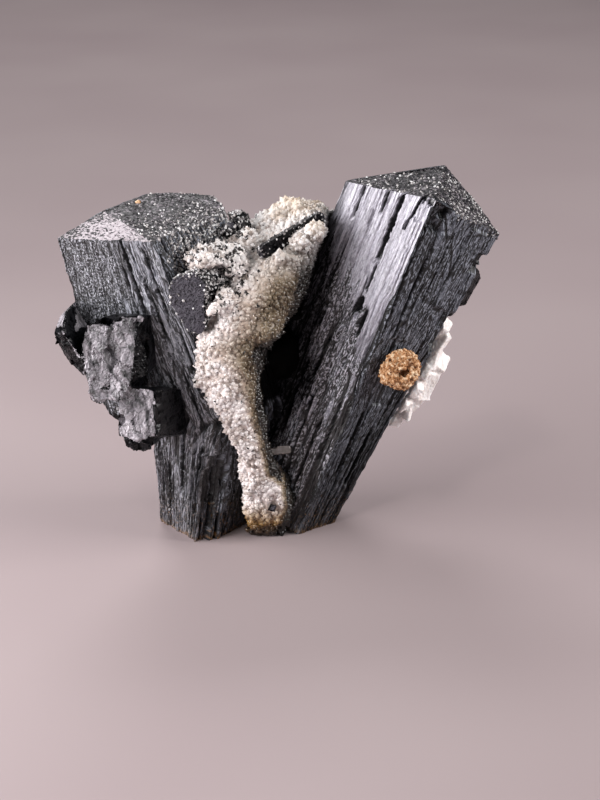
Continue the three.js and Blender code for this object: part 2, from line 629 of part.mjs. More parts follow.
// One rough column through the rings of the ridge
function druseRidge(random) {
  const rings = DRUSE_RIDGE.length - 1;
  const column = joined(new THREE.CylinderGeometry(1, 1, 1, RIDGE_SIDES, rings));
  bend(column, (point) => {
    const [x, y, z, long, short, degrees] = DRUSE_RIDGE[Math.round((point.y + 0.5) * rings)];
    const turn = THREE.MathUtils.degToRad(degrees);
    const wobble = 1 + RIDGE_ROUGHNESS * (random() - 0.5);
    const out = new THREE.Vector2(-point.x * long, point.z * short).multiplyScalar(wobble);
    out.rotateAround(new THREE.Vector2(), turn);
    point.set(x + out.x, y + out.y, z + wobble - 1);
  });
  return solidOf(column);
}

// Spots on the lumps and rings where larger quartz crystals stand
function crystalSpots(random) {
  const rings = DRUSE_RIDGE.map(([x, y, z, long, short]) => [x, y, z, (long + short) / 2]);
  const rounds = [...DRUSE_LUMPS, ...DRUSE_FILL, ...rings];
  const middles = rounds.map(([x, y, z]) => new THREE.Vector3(x, y, z));
  const spots = [];
  rounds.forEach(([, , , size], index) => {
    const count = Math.round(4 * Math.PI * size * size * DRUSE_CRYSTAL.spread);
    for (let i = 0; i < count; i += 1) {
      const [polar, around] = [Math.acos(2 * random() - 1), 2 * Math.PI * random()];
      const out = new THREE.Vector3().setFromSphericalCoords(1, polar, around);
      const spot = middles[index].clone().addScaledVector(out, size * DRUSE_CRYSTAL.seat);
      const inside = rounds.some((round, k) => spot.distanceTo(middles[k]) < round[3] * DRUSE_CRYSTAL.cover);
      if (!inside) spots.push({ spot, out });
    }
  });
  return spots;
}

function quartzDruse(neighbours) {
  const random = randomStream(SEEDS.druse);
  let druse = druseRidge(random);
  for (const lump of [...DRUSE_LUMPS, ...DRUSE_FILL]) druse = druse.add(roughLump(lump, random));
  const { smallest, largest, lean } = DRUSE_CRYSTAL;
  for (const { spot, out } of crystalSpots(random)) {
    const radius = smallest + (largest - smallest) * random();
    const aside = new THREE.Vector3(random() - 0.5, random() - 0.5, random() - 0.5);
    druse = druse.add(quartzCrystal(spot, out.addScaledVector(aside, lean).normalize(), radius));
  }
  for (const neighbour of neighbours) druse = druse.subtract(neighbour);
  return largestBody(druse.subtract(underFoot()));
}

function largestBody(solid) {
  const bodies = solid.decompose();
  return bodies.reduce((best, body) => (body.volume() > best.volume() ? body : best));
}

function brownBall() {
  const random = randomStream(SEEDS.ball);
  const ball = joined(new THREE.IcosahedronGeometry(BALL.radius, BALL.detail));
  bend(ball, (point) => point.multiplyScalar(1 - (BALL.roughness * random()) / BALL.radius));
  ball.translate(...BALL.middle);
  const crack = new THREE.BoxGeometry(...BALL_CRACK.size);
  crack.applyMatrix4(new THREE.Matrix4().makeRotationFromEuler(new THREE.Euler(...BALL_CRACK.turn)));
  crack.translate(...BALL_CRACK.middle);
  return solidOf(ball).subtract(solidOf(crack)).subtract(rightCrystalHull(HULL_ROOM));
}

// Blocky crystals with slanted faces, as a crust
function whiteCrust() {
  const random = randomStream(SEEDS.crust);
  const out = vector(CRUST_OUTER).normalize();
  let crust = null;
  for (const [x, y, z, size] of CRUST_BLOCKS) {
    const depth = size * (CRUST_STRETCH.depth + CRUST_STRETCH.spread * random());
    const height = size * (CRUST_STRETCH.height + CRUST_STRETCH.spread * random());
    const block = new THREE.BoxGeometry(size, depth, height);
    block.applyMatrix4(new THREE.Matrix4().makeShear(...CRUST_SHEAR));
    block.rotateX(CRUST_TILT * random());
    block.rotateY(CRUST_TILT * random());
    block.rotateZ(CRUST_TURN * random());
    block.translate(x - CRUST_SINK * out.x, y - CRUST_SINK * out.y, z);
    const solid = solidOf(block);
    crust = crust ? crust.add(solid) : solid;
  }
  return largestBody(crust.subtract(rightCrystalHull(HULL_ROOM)));
}

// Materials, named for what each piece is
const MATERIALS = {
  ilvaite: { color: '#45434a', roughness: 0.42, metalness: 0.1 },
  ilvaiteBroken: { color: '#8a8085', roughness: 0.7, metalness: 0 },
  quartz: { color: '#ddcfc2', roughness: 0.35, metalness: 0 },
  clearQuartz: { color: '#8a7f7a', roughness: 0.2, metalness: 0 },
  brownGrains: { color: '#a87a52', roughness: 0.9, metalness: 0 },
  calcite: { color: '#ddd0cc', roughness: 0.6, metalness: 0 },
};

const specimen = new THREE.Group();
specimen.position.set(SPECIMEN_SHIFT.x, SPECIMEN_SHIFT.y, 0);

function addPiece(name, solid, material) {
  const mesh = new THREE.Mesh(geometryOf(solid), new THREE.MeshStandardMaterial(MATERIALS[material]));
  mesh.name = name;
  specimen.add(mesh);
}

const rightHull = rightCrystalHull(HULL_ROOM);
const leftHull = leftCrystalHull(HULL_ROOM);
const knob = smallCrystal(KNOB).add(smallCrystal(KNOB_TWIN)).subtract(leftHull);
const grownKnob = smallCrystal(KNOB, GAP).add(smallCrystal(KNOB_TWIN, GAP));

addPiece('left_crystal', leftCrystal(), 'ilvaite');
addPiece('right_crystal', rightCrystal(), 'ilvaite');
addPiece('side_cluster', sideCluster(), 'ilvaiteBroken');
addPiece('middle_crystal', middleCrystal().subtract(leftHull), 'ilvaite');
addPiece('top_knob', largestBody(knob.subtract(middleCrystal(GAP))), 'ilvaite');
addPiece('blade_crystal', smallCrystal(BLADE).subtract(rightHull), 'ilvaite');
addPiece('bridge_crystal', smallCrystal(BRIDGE).subtract(rightHull).subtract(leftHull), 'clearQuartz');
addPiece('foot_crystal', smallCrystal(FOOT_CRYSTAL).subtract(leftHull), 'ilvaite');
addPiece('back_crystal', smallCrystal(BACK_CRYSTAL).subtract(rightHull), 'ilvaite');
addPiece('brown_ball', brownBall(), 'brownGrains');
addPiece('white_crust', whiteCrust(), 'calcite');
addPiece('quartz_druse', quartzDruse([
  rightHull, leftHull, middleCrystal(GAP), grownKnob,
  smallCrystal(BLADE, GAP), smallCrystal(BRIDGE, GAP), smallCrystal(FOOT_CRYSTAL, GAP),
]), 'quartz');

export default specimen;
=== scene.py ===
"""Ilvaite specimen: two thick striated ilvaite prisms in a V with a quartz druse between them."""
import math

import bmesh
import bpy
import numpy as np
from mathutils import Matrix, Vector, noise


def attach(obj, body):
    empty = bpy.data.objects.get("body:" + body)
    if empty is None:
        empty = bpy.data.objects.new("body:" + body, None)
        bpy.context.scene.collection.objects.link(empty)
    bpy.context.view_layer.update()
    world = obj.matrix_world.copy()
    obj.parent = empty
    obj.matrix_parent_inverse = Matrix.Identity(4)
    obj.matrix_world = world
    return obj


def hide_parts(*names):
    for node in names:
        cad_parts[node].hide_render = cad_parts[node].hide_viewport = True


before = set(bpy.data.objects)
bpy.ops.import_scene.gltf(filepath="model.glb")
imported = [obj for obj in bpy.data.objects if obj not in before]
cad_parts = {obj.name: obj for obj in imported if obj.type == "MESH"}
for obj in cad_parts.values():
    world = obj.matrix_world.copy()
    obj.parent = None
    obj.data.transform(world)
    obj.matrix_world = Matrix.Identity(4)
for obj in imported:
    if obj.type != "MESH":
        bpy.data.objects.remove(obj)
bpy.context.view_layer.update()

MM = 0.001
SHIFT = (-0.6, -5.4, 0.0)  # the same shift as in the solids, mm

# Corner points of the prisms in mm, as in the solids: front, right, back and left edge
RIGHT_PRISM = {
    "foot": {"front": (3.5, 4.5, 0), "right": (11.2, 9.6, 0), "back": (6, 21.4, 0), "left": (-12, 17.4, 0)},
    "tip": {"front": (27.2, -2, 67.8), "right": (40.3, 10, 57.9), "back": (30.9, 21, 68.1),
            "left": (11.7, 10, 68)},
    "face": 18.0,
}
LEFT_PRISM = {
    "foot": {"front": (-8.2, -3, 22.4), "right": (2, 10, 21), "back": (-9, 22, 21), "left": (-30.6, 0, 21.4)},
    "tip": {"front": (-21.6, -6, 61.4), "right": (-8.5, 8, 59.8), "back": (-14.4, 25.8, 62.5),
            "left": (-38.3, -3, 61.2)},
    "face": 20.0,
}
FOOT_PRISM = {
    "foot": {"front": (-14.1, -0.7, 0), "right": (-5.5, 10.5, 0), "back": (-14.5, 19, 0),
             "left": (-23.2, 10.5, 0)},
    "tip": {"front": (-9.9, -3.3, 28), "right": (0, 8.4, 28), "back": (-14, 17, 28),
            "left": (-23.4, -1.4, 28)},
    "face": 13.0,
}

# Sides of the sections in the unit square, each a line of points
PLAIN_SIDES = {
    "frontRight": ((0, 0), (1, 0)), "rightBack": ((1, 0), (1, 1)),
    "backLeft": ((1, 1), (0, 1)), "frontLeft": ((0, 1), (0, 0)),
}
BULGED_SIDES = dict(PLAIN_SIDES, rightBack=((1, 0), (1.07, 0.45), (1, 1)))
BLUNT_SIDES = dict(PLAIN_SIDES, rightBack=((1, 0), (1, 0.42), (0.62, 1)), backLeft=((0.62, 1), (0, 1)))
SIDE_ORDER = ("frontRight", "rightBack", "backLeft", "frontLeft")
EDGE_ORDER = ("front", "right", "back", "left")
FRONT_LEFT = 3  # material slot of the front left faces; 0 is the other faces, 1 and 2 the roof facets

RIGHT_ROOF = (
    ((11.7, 10, 68), (27.2, -2, 67.8), (30.9, 21, 68.1)),
    ((27.2, -2, 67.8), (40.3, 10, 57.9), (30.9, 21, 68.1)),
)
LEFT_ROOF = (
    ((-38.3, -3, 61.2), (-21.6, -6, 61.4), (-31.3, 6, 63.7)),
    ((-21.6, -6, 61.4), (-31.3, 6, 63.7), (-16, 15.5, 64)),
)
LEFT_BROKEN_END = ((-33.5, 0, 30), (-23.6, -2, 20.6), (-27, 14, 22))
FLOOR_CUT = ((0, 0, 0), (1, 0, 0), (0, 1, 0))

# Slots and raised slats: side, range across the face, range along the length, depth or height in mm
RIGHT_SLOTS = [
    ("frontLeft", 0.3, 0.36, 0.8, 1.06, 1.6), ("frontLeft", 0.3, 0.34, 0.72, 0.8, 0.9),
    ("frontLeft", 0.47, 0.51, 0.93, 1.06, 1.1), ("frontLeft", 0.74, 0.78, 0.9, 1.06, 0.8),
    ("frontLeft", 0.29, 0.39, 0.66, 0.705, 2.0), ("frontLeft", 0.19, 0.25, 0.6, 0.68, 1.5),
    ("frontLeft", 0.5, 0.54, 0.45, 0.6, 0.9), ("frontLeft", 0.62, 0.66, 0.3, 0.52, 0.8),
    ("frontLeft", 0.1, 0.14, 0.2, 0.42, 0.9), ("frontLeft", 0.22, 0.27, 0.12, 0.36, 0.8),
    ("frontLeft", 0.4, 0.45, 0.16, 0.44, 0.9), ("frontLeft", -0.05, 0.05, 0.3, 0.465, 0.6),
    ("frontRight", 0.2, 0.26, 0.95, 1.08, 1.0),
    ("frontRight", 0.3, 0.36, 0.18, 0.4, 1.3), ("frontRight", 0.62, 0.7, 0.14, 0.34, 1.6),
    ("frontRight", 0.12, 0.16, 0.12, 0.3, 0.9), ("frontRight", 0.86, 1.05, 0.865, 0.93, 1.3),
    ("frontRight", 0.88, 1.05, 0.6, 0.74, 1.6), ("rightBack", 0.3, 0.36, 0.5, 0.8, 1.0),
    ("rightBack", 0.6, 0.68, 0.2, 0.6, 1.1), ("backLeft", 0.2, 0.27, 0.6, 0.9, 1.1),
    ("backLeft", 0.5, 0.56, 0.35, 0.7, 1.2), ("backLeft", 0.75, 0.8, 0.5, 0.85, 0.9),
]
RIGHT_SLATS = [
    ("frontLeft", 0.03, 0.2, 0.49, 0.93, 0.3), ("frontLeft", 0.24, 0.35, 0.44, 0.665, 0.5),
    ("frontLeft", 0.55, 0.7, 0.56, 1.05, 0.3), ("frontLeft", 0.38, 0.46, 0.2, 0.62, 0.35),
    ("frontLeft", 0.14, 0.22, 0.06, 0.33, 0.35), ("frontRight", 0.25, 0.5, 0.62, 1.0, 0.35),
    ("frontRight", 0.62, 0.85, 0.74, 0.98, 0.4), ("frontRight", 0.4, 0.58, 0.1, 0.42, 0.45),
    ("rightBack", 0.1, 0.26, 0.2, 0.7, 0.4), ("rightBack", 0.4, 0.56, 0.4, 0.95, 0.4),
    ("backLeft", 0.3, 0.46, 0.3, 0.8, 0.45), ("backLeft", 0.6, 0.72, 0.5, 1.0, 0.4),
]
LEFT_SLOTS = [
    ("frontLeft", 0.33, 0.37, 0.62, 1.06, 1.0), ("frontLeft", 0.22, 0.25, 0.5, 0.86, 0.8),
    ("frontLeft", 0.12, 0.15, 0.62, 0.98, 0.8), ("frontLeft", 0.07, 0.1, 0.2, 0.6, 0.7),
    ("frontLeft", 0.18, 0.21, 0.0, 0.4, 0.9), ("frontLeft", 0.3, 0.34, 0.04, 0.36, 0.8),
    ("frontRight", 0.2, 0.26, 0.3, 0.9, 0.9), ("rightBack", 0.1, 0.2, 0.3, 0.8, 0.9),
    ("backLeft", 0.2, 0.26, 0.3, 0.9, 0.9), ("backLeft", 0.42, 0.5, 0.2, 0.7, 1.1),
]
LEFT_SLATS = [
    ("frontLeft", 0.02, 0.06, 0.3, 0.9, 0.3), ("frontLeft", 0.15, 0.2, 0.42, 0.8, 0.35),
    ("frontLeft", 0.26, 0.31, 0.3, 0.7, 0.35), ("frontLeft", 0.1, 0.16, 0.0, 0.44, 0.4),
    ("frontRight", 0.4, 0.6, 0.3, 0.9, 0.35), ("backLeft", 0.1, 0.18, 0.2, 0.8, 0.4),
    ("backLeft", 0.3, 0.4, 0.5, 1.0, 0.45),
]
FOOT_SLOTS = [
    ("frontLeft", 0.2, 0.27, 0.2, 0.8, 0.7), ("frontLeft", 0.5, 0.56, 0.3, 0.95, 0.7),
    ("frontLeft", 0.74, 0.8, 0.1, 0.6, 0.6), ("frontRight", 0.15, 0.2, 0.1, 0.7, 0.6),
    ("frontRight", 0.44, 0.5, 0.15, 0.8, 0.7),
]
FOOT_SLATS = [
    ("frontLeft", 0.02, 0.16, 0.3, 1.0, 0.4), ("frontLeft", 0.34, 0.46, 0.1, 0.9, 0.35),
    ("frontRight", 0.24, 0.4, 0.2, 0.7, 0.35), ("backLeft", 0.3, 0.6, 0.0, 0.7, 0.4),
]


# Small helpers

def linear(hex_colour):
    """A linear RGBA colour from an sRGB hex value."""
    parts = [int(hex_colour[i:i + 2], 16) / 255 for i in (1, 3, 5)]
    return [c / 12.92 if c <= 0.04045 else ((c + 0.055) / 1.055) ** 2.4 for c in parts] + [1.0]


def apart(size_mm):
    """The scale of a pattern whose features lie about size_mm apart."""
    return 1 / (size_mm * MM)


def connect(tree, node, inputs):
    """Fills a node's inputs, each with a value, or with a link from a socket or a node's first output."""
    for key, value in inputs.items():
        if isinstance(value, bpy.types.Node):
            value = next(socket for socket in value.outputs if socket.enabled)
        if isinstance(value, bpy.types.NodeSocket):
            tree.links.new(value, node.inputs[key])
        else:
            node.inputs[key].default_value = value


def add(tree, kind, *values, stops=(), **named):
    """A node with its settings and links.

    values fill the inputs in their order, capitalised names the inputs so called, and other names are
    settings. stops are a colour ramp's positions, each with a hex colour or a grey.
    """
    node = tree.nodes.new("ShaderNode" + kind)
    inputs = dict(enumerate(values))
    for key, value in named.items():
        if key[0].isupper():
            inputs[key] = value
        else:
            setattr(node, key, value)
    connect(tree, node, inputs)
    elements = node.color_ramp.elements if stops else []
    while len(elements) < len(stops):
        elements.new(0.5)
    for element, (position, colour) in zip(elements, stops):
        element.position = position
        element.color = linear(colour) if isinstance(colour, str) else (colour, colour, colour, 1)
    return node


def new_material(name):
    """A material with its node tree and its shader."""
    material = bpy.data.materials.new(name)
    material.use_nodes = True
    tree = material.node_tree
    shader = tree.nodes["Principled BSDF"]
    return material, tree, shader


def shown(name, bm, materials, smooth=False):
    """Puts a bmesh into the scene as an object at the origin."""
    mesh = bpy.data.meshes.new(name)
    for face in bm.faces:
        face.smooth = smooth
    bm.to_mesh(mesh)
    bm.free()
    piece = bpy.data.objects.new(name, mesh)
    for material in materials:
        mesh.materials.append(material)
    bpy.context.scene.collection.objects.link(piece)
    return piece


def lattice_noise(x, y, seed):
    """Smooth noise from 0 to 1 on a plane, one cell per unit."""
    table = np.random.default_rng(seed).random((128, 128))
    xi, yi = np.floor(x).astype(int), np.floor(y).astype(int)
    fx, fy = x - xi, y - yi
    fx, fy = fx * fx * (3 - 2 * fx), fy * fy * (3 - 2 * fy)
    a, b = table[xi % 128, yi % 128], table[(xi + 1) % 128, yi % 128]
    c, d = table[xi % 128, (yi + 1) % 128], table[(xi + 1) % 128, (yi + 1) % 128]
    return (a * (1 - fx) + b * fx) * (1 - fy) + (c * (1 - fx) + d * fx) * fy


# Fanned prisms

def in_prism(prism, u, v, w):
    """Points in mm of the fanned prism: u to the right edge, v to the left edge, w up."""
    ends = []
    for end in ("foot", "tip"):
        front, right, back, left = (np.array(prism[end][k], float) for k in EDGE_ORDER)
        u3, v3 = u[..., None], v[..., None]
        ends.append((front * (1 - u3) + right * u3) * (1 - v3) + (left * (1 - u3) + back * u3) * v3)
    return ends[0] * (1 - w[..., None]) + ends[1] * w[..., None]


def cut_level(prism, u, v, planes, lowest):
    """How far up each line of the prism meets the first of the planes, or the last of the lowest ones."""
    foot = in_prism(prism, u, v, np.zeros_like(u))
    run = in_prism(prism, u, v, np.ones_like(u)) - foot
    levels = []
    for points in planes:
        a, b, c = (np.array(p, float) for p in points)
        normal = np.cross(b - a, c - a)
        levels.append(((a - foot) @ normal) / (run @ normal))
    return np.max(levels, axis=0) if lowest else np.min(levels, axis=0)


def ledges(across, along, size, steps, seed):
    """Flat ledges between -0.5 and 0.5, size mm across and along."""
    field = lattice_noise(across / size[0], along / size[1], seed)
    return np.floor(field * steps + 0.5) / steps - 0.5


def lamella_depth(bent, z, width, length, spec, rng):
    """Long flat lamellae with pointed ends, each a little above or below the face, mm."""
    depth = np.zeros_like(z)
    for _ in range(spec["lamellae"]):
        half = 0.5 * np.clip(rng.lognormal(math.log(spec["width"]), 0.65), 0.15, 3.2)
        centre, middle = rng.uniform(0, width), rng.uniform(-0.1, 1.1) * length
        reach = rng.uniform(2.5, 0.42 * length)
        taper = rng.uniform(0.15, 0.9) * reach
        edge = half * np.clip((reach - abs(z - middle)) / taper, 0, 1)
        line = centre + rng.normal(0, 0.006) * (z - middle)
        depth += (abs(bent - line) < edge) * rng.uniform(0.25, 1) * spec["step"] * rng.choice((-1, 1))
    return depth


def groove_depth(bent, z, width, length, spec, rng):
    """Narrow grooves that run out to points, mm."""
    depth = np.zeros_like(z)
    for _ in range(spec["grooves"]):
        half = rng.uniform(0.14, 0.34)
        centre, middle = rng.uniform(0, width), rng.uniform(0, 1) * length
        reach = rng.uniform(1.5, 0.25 * length)
        line = centre + rng.normal(0, 0.008) * (z - middle)
        edge = half * np.clip(1.4 * (1 - (abs(z - middle) / reach) ** 2), 0, 1)
        profile = np.clip(1.3 - abs(bent - line) / np.maximum(edge, 1e-3), 0, 1) * (edge > 0.02)
        depth += profile * rng.uniform(0.3, 1) * spec["groove"]
    return depth


def striated_depth(width, length, columns, rows, spec, seed):
    """Depth in mm below the true face: lamellae, grooves, splinters and grain."""
    rng = np.random.default_rng(seed)
    s = np.linspace(0, width, columns + 1)[:, None] * np.ones((1, rows + 1))
    z = np.linspace(0, length, rows + 1)[None, :] * np.ones((columns + 1, 1))
    wander = 0.2 * (lattice_noise(z / 14, z * 0 + 3, seed) - 0.5)
    bent = s + wander + 0.07 * (lattice_noise(z / 2.5, s / 4, seed + 1) - 0.5)
    depth = lamella_depth(bent, z, width, length, spec, rng)
    depth += groove_depth(bent, z, width, length, spec, rng)
    depth -= np.percentile(depth, 12)
    depth = np.maximum(depth, -0.06)
    flat = np.clip((z / length - spec["smooth_from"]) / 0.1, 0, 1)
    depth *= 1 - 0.65 * flat * (depth < 0.9)
    ragged = z / length + 0.16 * (lattice_noise(s / 1.4, z / 9, seed + 2) - 0.5)
    rough = 1 - 0.8 * np.clip((ragged - spec["smooth_from"]) / 0.08, 0, 1)
    grainy = np.clip((spec["grainy_to"] * width - bent) / 1.2, 0, 1)
    splinters = 0.6 * ledges(bent, z, (0.85, 4.2), 5, seed + 3)
    splinters += 0.5 * ledges(bent, z, (0.42, 1.7), 4, seed + 4)
    depth *= 1 - 0.6 * grainy * (depth < 0.8)
    depth += spec["splinter"] * splinters * rough * (1 - 0.8 * grainy)
    grain = lattice_noise(s / 0.3, z / 0.62, seed + 5) + lattice_noise(s / 0.7, z / 1.5, seed + 6) - 1
    depth += (spec["grain"] * rough + 0.08 * grainy) * grain
    return depth


def detail_depth(across, along, side, prism, slots, slats):
    """Adds the named slots and slats of one side; across and along run from 0 to 1."""
    depth = np.zeros_like(across)
    for name, start, end, low, high, height in slats:
        if name == side:
            inside = (across > start) & (across < end) & (along > low) & (along < high)
            depth -= inside * height
    for name, start, end, low, high, deep in slots:
        if name == side:
            x = abs(across - (start + end) / 2) / ((end - start) / 2)
            z = abs(along - (low + high) / 2) / ((high - low) / 2)
            x = x + 0.9 * (lattice_noise(along * 130, across * 9, 77) - 0.5)
            depth += np.clip(2.6 * (1 - x), 0, 1) * np.clip(3 * (1 - z), 0, 1) * deep
    return depth


def prism_net(bm, prism, sides, top, bottom, counts, rows, specs, slots, slats, seed, extra=None):
    """The striated walls of a fanned prism and a cap that lies on its facets."""
    uv_name = bm.loops.layers.uv.get("along") or bm.loops.layers.uv.new("along")
    if not bm.verts.layers.float.get("recess"):
        bm.verts.layers.float.new("recess")
    length = float(np.linalg.norm(np.array(prism["tip"]["front"]) - np.array(prism["foot"]["front"])))
    face = prism["face"]
    u_all, v_all = [], []
    depths, shaded = {}, {}
    for k, side in enumerate(SIDE_ORDER):
        n = counts[k % 2]
        depth = striated_depth(face, length, n, rows, specs[side], seed + 10 * k)
        f = np.linspace(0, 1, n + 1)[:, None] * np.ones((1, rows + 1))
        w = np.linspace(0, 1, rows + 1)[None, :] * np.ones((n + 1, 1))
        across = 1 - f if side in ("backLeft", "frontLeft") else f
        depth = depth + detail_depth(across, w, side, prism, slots, slats)
        broken = extra(side, across, w) if extra else 0.0
        depths[side] = depth + broken
        # shaded: how deep each point lies, kept for the painted shade in recesses; the broken parts add
        # little to it except on the front left side
        shaded[side] = depth + (broken if side == "frontLeft" else np.minimum(broken, 0.25))
    for k, side in enumerate(SIDE_ORDER):
        n = counts[k % 2]
        line = np.array(sides[side], float)
        steps = np.concatenate([[0], np.cumsum(np.linalg.norm(np.diff(line, axis=0), axis=1))])
        f = np.linspace(0, 1, n + 1)
        base_u = np.interp(f * steps[-1], steps, line[:, 0])
        base_v = np.interp(f * steps[-1], steps, line[:, 1])
        tangent = np.stack([np.gradient(base_u), np.gradient(base_v)], 1)
        tangent /= np.linalg.norm(tangent, axis=1)[:, None]
        inward = np.stack([-tangent[:, 1], tangent[:, 0]], 1)
        before = depths[SIDE_ORDER[k - 1]][-1]
        after = depths[SIDE_ORDER[(k + 1) % 4]][0]
        depth = depths[side]
        slide = before[None, :] * ((1 - f) ** 5)[:, None] - after[None, :] * (f ** 5)[:, None]
        u_side = base_u[:, None] + (inward[:, 0:1] * depth + tangent[:, 0:1] * slide) / face
        v_side = base_v[:, None] + (inward[:, 1:2] * depth + tangent[:, 1:2] * slide) / face
        u_all.append(u_side)
        v_all.append(v_side)
    # walls: one net rolled round the four sides
    u = np.concatenate([a[:-1] for a in u_all] + [u_all[0][:1]])
    v = np.concatenate([a[:-1] for a in v_all] + [v_all[0][:1]])
    total = u.shape[0] - 1
    low = cut_level(prism, u[:, 0], v[:, 0], bottom, True)
    high = cut_level(prism, u[:, -1], v[:, -1], top, False)
    w = low[:, None] + (high - low)[:, None] * np.linspace(0, 1, rows + 1)[None, :]
    recess = np.concatenate([shaded[side][:-1] for side in SIDE_ORDER] + [shaded[SIDE_ORDER[0]][:1]])
    walls = place_net(bm, uv_name, in_prism(prism, u, v, w), (4 * face, length), 0, recess)
    first = 4 * face * (total - counts[1]) / total - 1e-3
    for wall in walls:
        if min(loop[uv_name].uv.x for loop in wall.loops) > first:
            wall.material_index = FRONT_LEFT
    # cap: a net whose border is the walls' top line
    border = [(a[:, -1], b[:, -1]) for a, b in zip(u_all, v_all)]
    cap_u, cap_v = (blended_net([side[axis] for side in border]) for axis in (0, 1))
    level = cut_level(prism, cap_u, cap_v, top, False)
    points = in_prism(prism, cap_u, cap_v, level)
    points[1:-1, 1:-1] += cap_relief(points[1:-1, 1:-1], cap_u[1:-1, 1:-1], cap_v[1:-1, 1:-1], seed)
    place_net(bm, uv_name, points, (face, face), 1)
    sort_facets(bm, top)


def sort_facets(bm, planes):
    """Gives each roof facet its own material: the lowest plane over a spot is the one that cuts there."""
    for face in bm.faces:
        if face.material_index == 1:
            middle = face.calc_center_median() / MM
            heights = [plane_height(points, middle.x - SHIFT[0], middle.y - SHIFT[1]) for points in planes]
            face.material_index = 1 + heights.index(min(heights))


def plane_height(points, x, y):
    """Height of the plane through three points over a spot, mm."""
    a, b, c = (Vector(point) for point in points)
    normal = (b - a).cross(c - a)
    return a.z - (normal.x * (x - a.x) + normal.y * (y - a.y)) / normal.z


def blended_net(sides):
    """A net of numbers that meets four border lines, which run one after the other round it."""
    front, right, back, left = sides
    back, left = back[::-1], left[::-1]
    a = np.linspace(0, 1, len(front))[:, None]
    b = np.linspace(0, 1, len(right))[None, :]
    across = front[:, None] * (1 - b) + back[:, None] * b
    deep = left[None, :] * (1 - a) + right[None, :] * a
    corners = (front[0] * (1 - a) + front[-1] * a) * (1 - b) + (back[0] * (1 - a) + back[-1] * a) * b
    return across + deep - corners


def cap_relief(points, u, v, seed):
    """Small hollows and steps of an etched end face, fading out at its border, mm."""
    x, y = points[..., 0], points[..., 1]
    relief = np.zeros_like(x)
    for step, (high, size) in enumerate(((0.16, 0.9), (0.12, 0.4), (0.5, 4.5))):
        relief += high * (lattice_noise(x / size, y / size, seed + 31 + step) - 0.5)
    edge = np.clip(np.minimum.reduce([u, v, 1 - u, 1 - v]) / 0.04, 0, 1)
    lift = np.zeros_like(points)
    lift[..., 2] = relief * edge
    return lift


def place_net(bm, uv_layer, points, size, material, recess=None):
    """A grid whose vertices go to the given points, in mm, and keep their depth below the face."""
    depth_layer = bm.verts.layers.float.get("recess")
    columns, rows = points.shape[0] - 1, points.shape[1] - 1
    made = bmesh.ops.create_grid(bm, x_segments=columns, y_segments=rows, size=1.0, calc_uvs=True)
    for vert in made["verts"]:
        i = round((vert.co.x + 1) / 2 * columns)
        j = round((vert.co.y + 1) / 2 * rows)
        x, y, z = points[i, j]
        vert.co = ((x + SHIFT[0]) * MM, (y + SHIFT[1]) * MM, z * MM)
        vert[depth_layer] = 0.0 if recess is None else recess[i, j]
    faces = list(dict.fromkeys(f for vert in made["verts"] for f in vert.link_faces))
    for face in faces:
        face.material_index = material
        for loop in face.loops:
            loop[uv_layer].uv = (loop[uv_layer].uv.x * size[0], loop[uv_layer].uv.y * size[1])
    return faces


WALL = {
    "lamellae": 190, "width": 0.9, "step": 0.13, "grooves": 30, "groove": 0.5,
    "grain": 0.05, "splinter": 0.22, "smooth_from": 2.0, "grainy_to": 0.0,
}
BRIGHT_WALL = dict(WALL, lamellae=230, width=1.0, step=0.18, grooves=52, groove=0.65, splinter=0.34,
                   smooth_from=0.62)
DULL_WALL = dict(WALL, lamellae=180, width=0.8, splinter=0.3, grainy_to=0.58)
DARK_WALL = dict(WALL, lamellae=150, width=0.8, step=0.1, grooves=32, groove=0.7, splinter=0.18, grain=0.09)


def chipped_edge(side, across, along):
    """Rough broken ledges down the lower part of the right edge, mm."""
    if side not in ("frontRight", "rightBack"):
        return 0.0
    near = across if side == "frontRight" else 1 - 1.5 * across
    weight = np.clip((near - 0.3) / 0.5, 0, 1) * np.clip((0.66 - along) / 0.2, 0, 1)
    broad = ledges(across * 18 + along * 20, along * 70, (5.0, 4.0), 4, 901) + 0.5
    fine = ledges(across * 18, along * 70 + across * 12, (1.6, 1.3), 3, 902) + 0.5
    return weight * (0.55 * broad + 0.4 * fine)


def ragged_foot(side, across, along):
    """Splinters that end at different heights, so that the upper prism thins out over the lower one, mm."""
    if side not in ("frontLeft", "frontRight"):
        return 0.0
    narrow, broad = lattice_noise(across * 26, across * 3, 911), lattice_noise(across * 5, along * 3, 912)
    ends = 0.02 + 0.2 * narrow * broad
    return np.clip((ends + 0.03 - along) / 0.06, 0, 1.6) * 2.0


def ragged_top(side, across, along):
    """The same at the top of the lower prism, which runs up behind the upper one, mm."""
    if side not in ("frontLeft", "frontRight"):
        return 0.0
    ends = 0.05 + 0.2 * lattice_noise(across * 18, across * 2, 921)
    depth = np.clip((ends - (1 - along)) / 0.12, 0, 1.5) * 1.8
    if side == "frontRight":
        depth = depth + 1.5 * (across < 0.16) * (along < 0.7) + 0.9 * (across < 0.26) * (along < 0.58)
    return depth


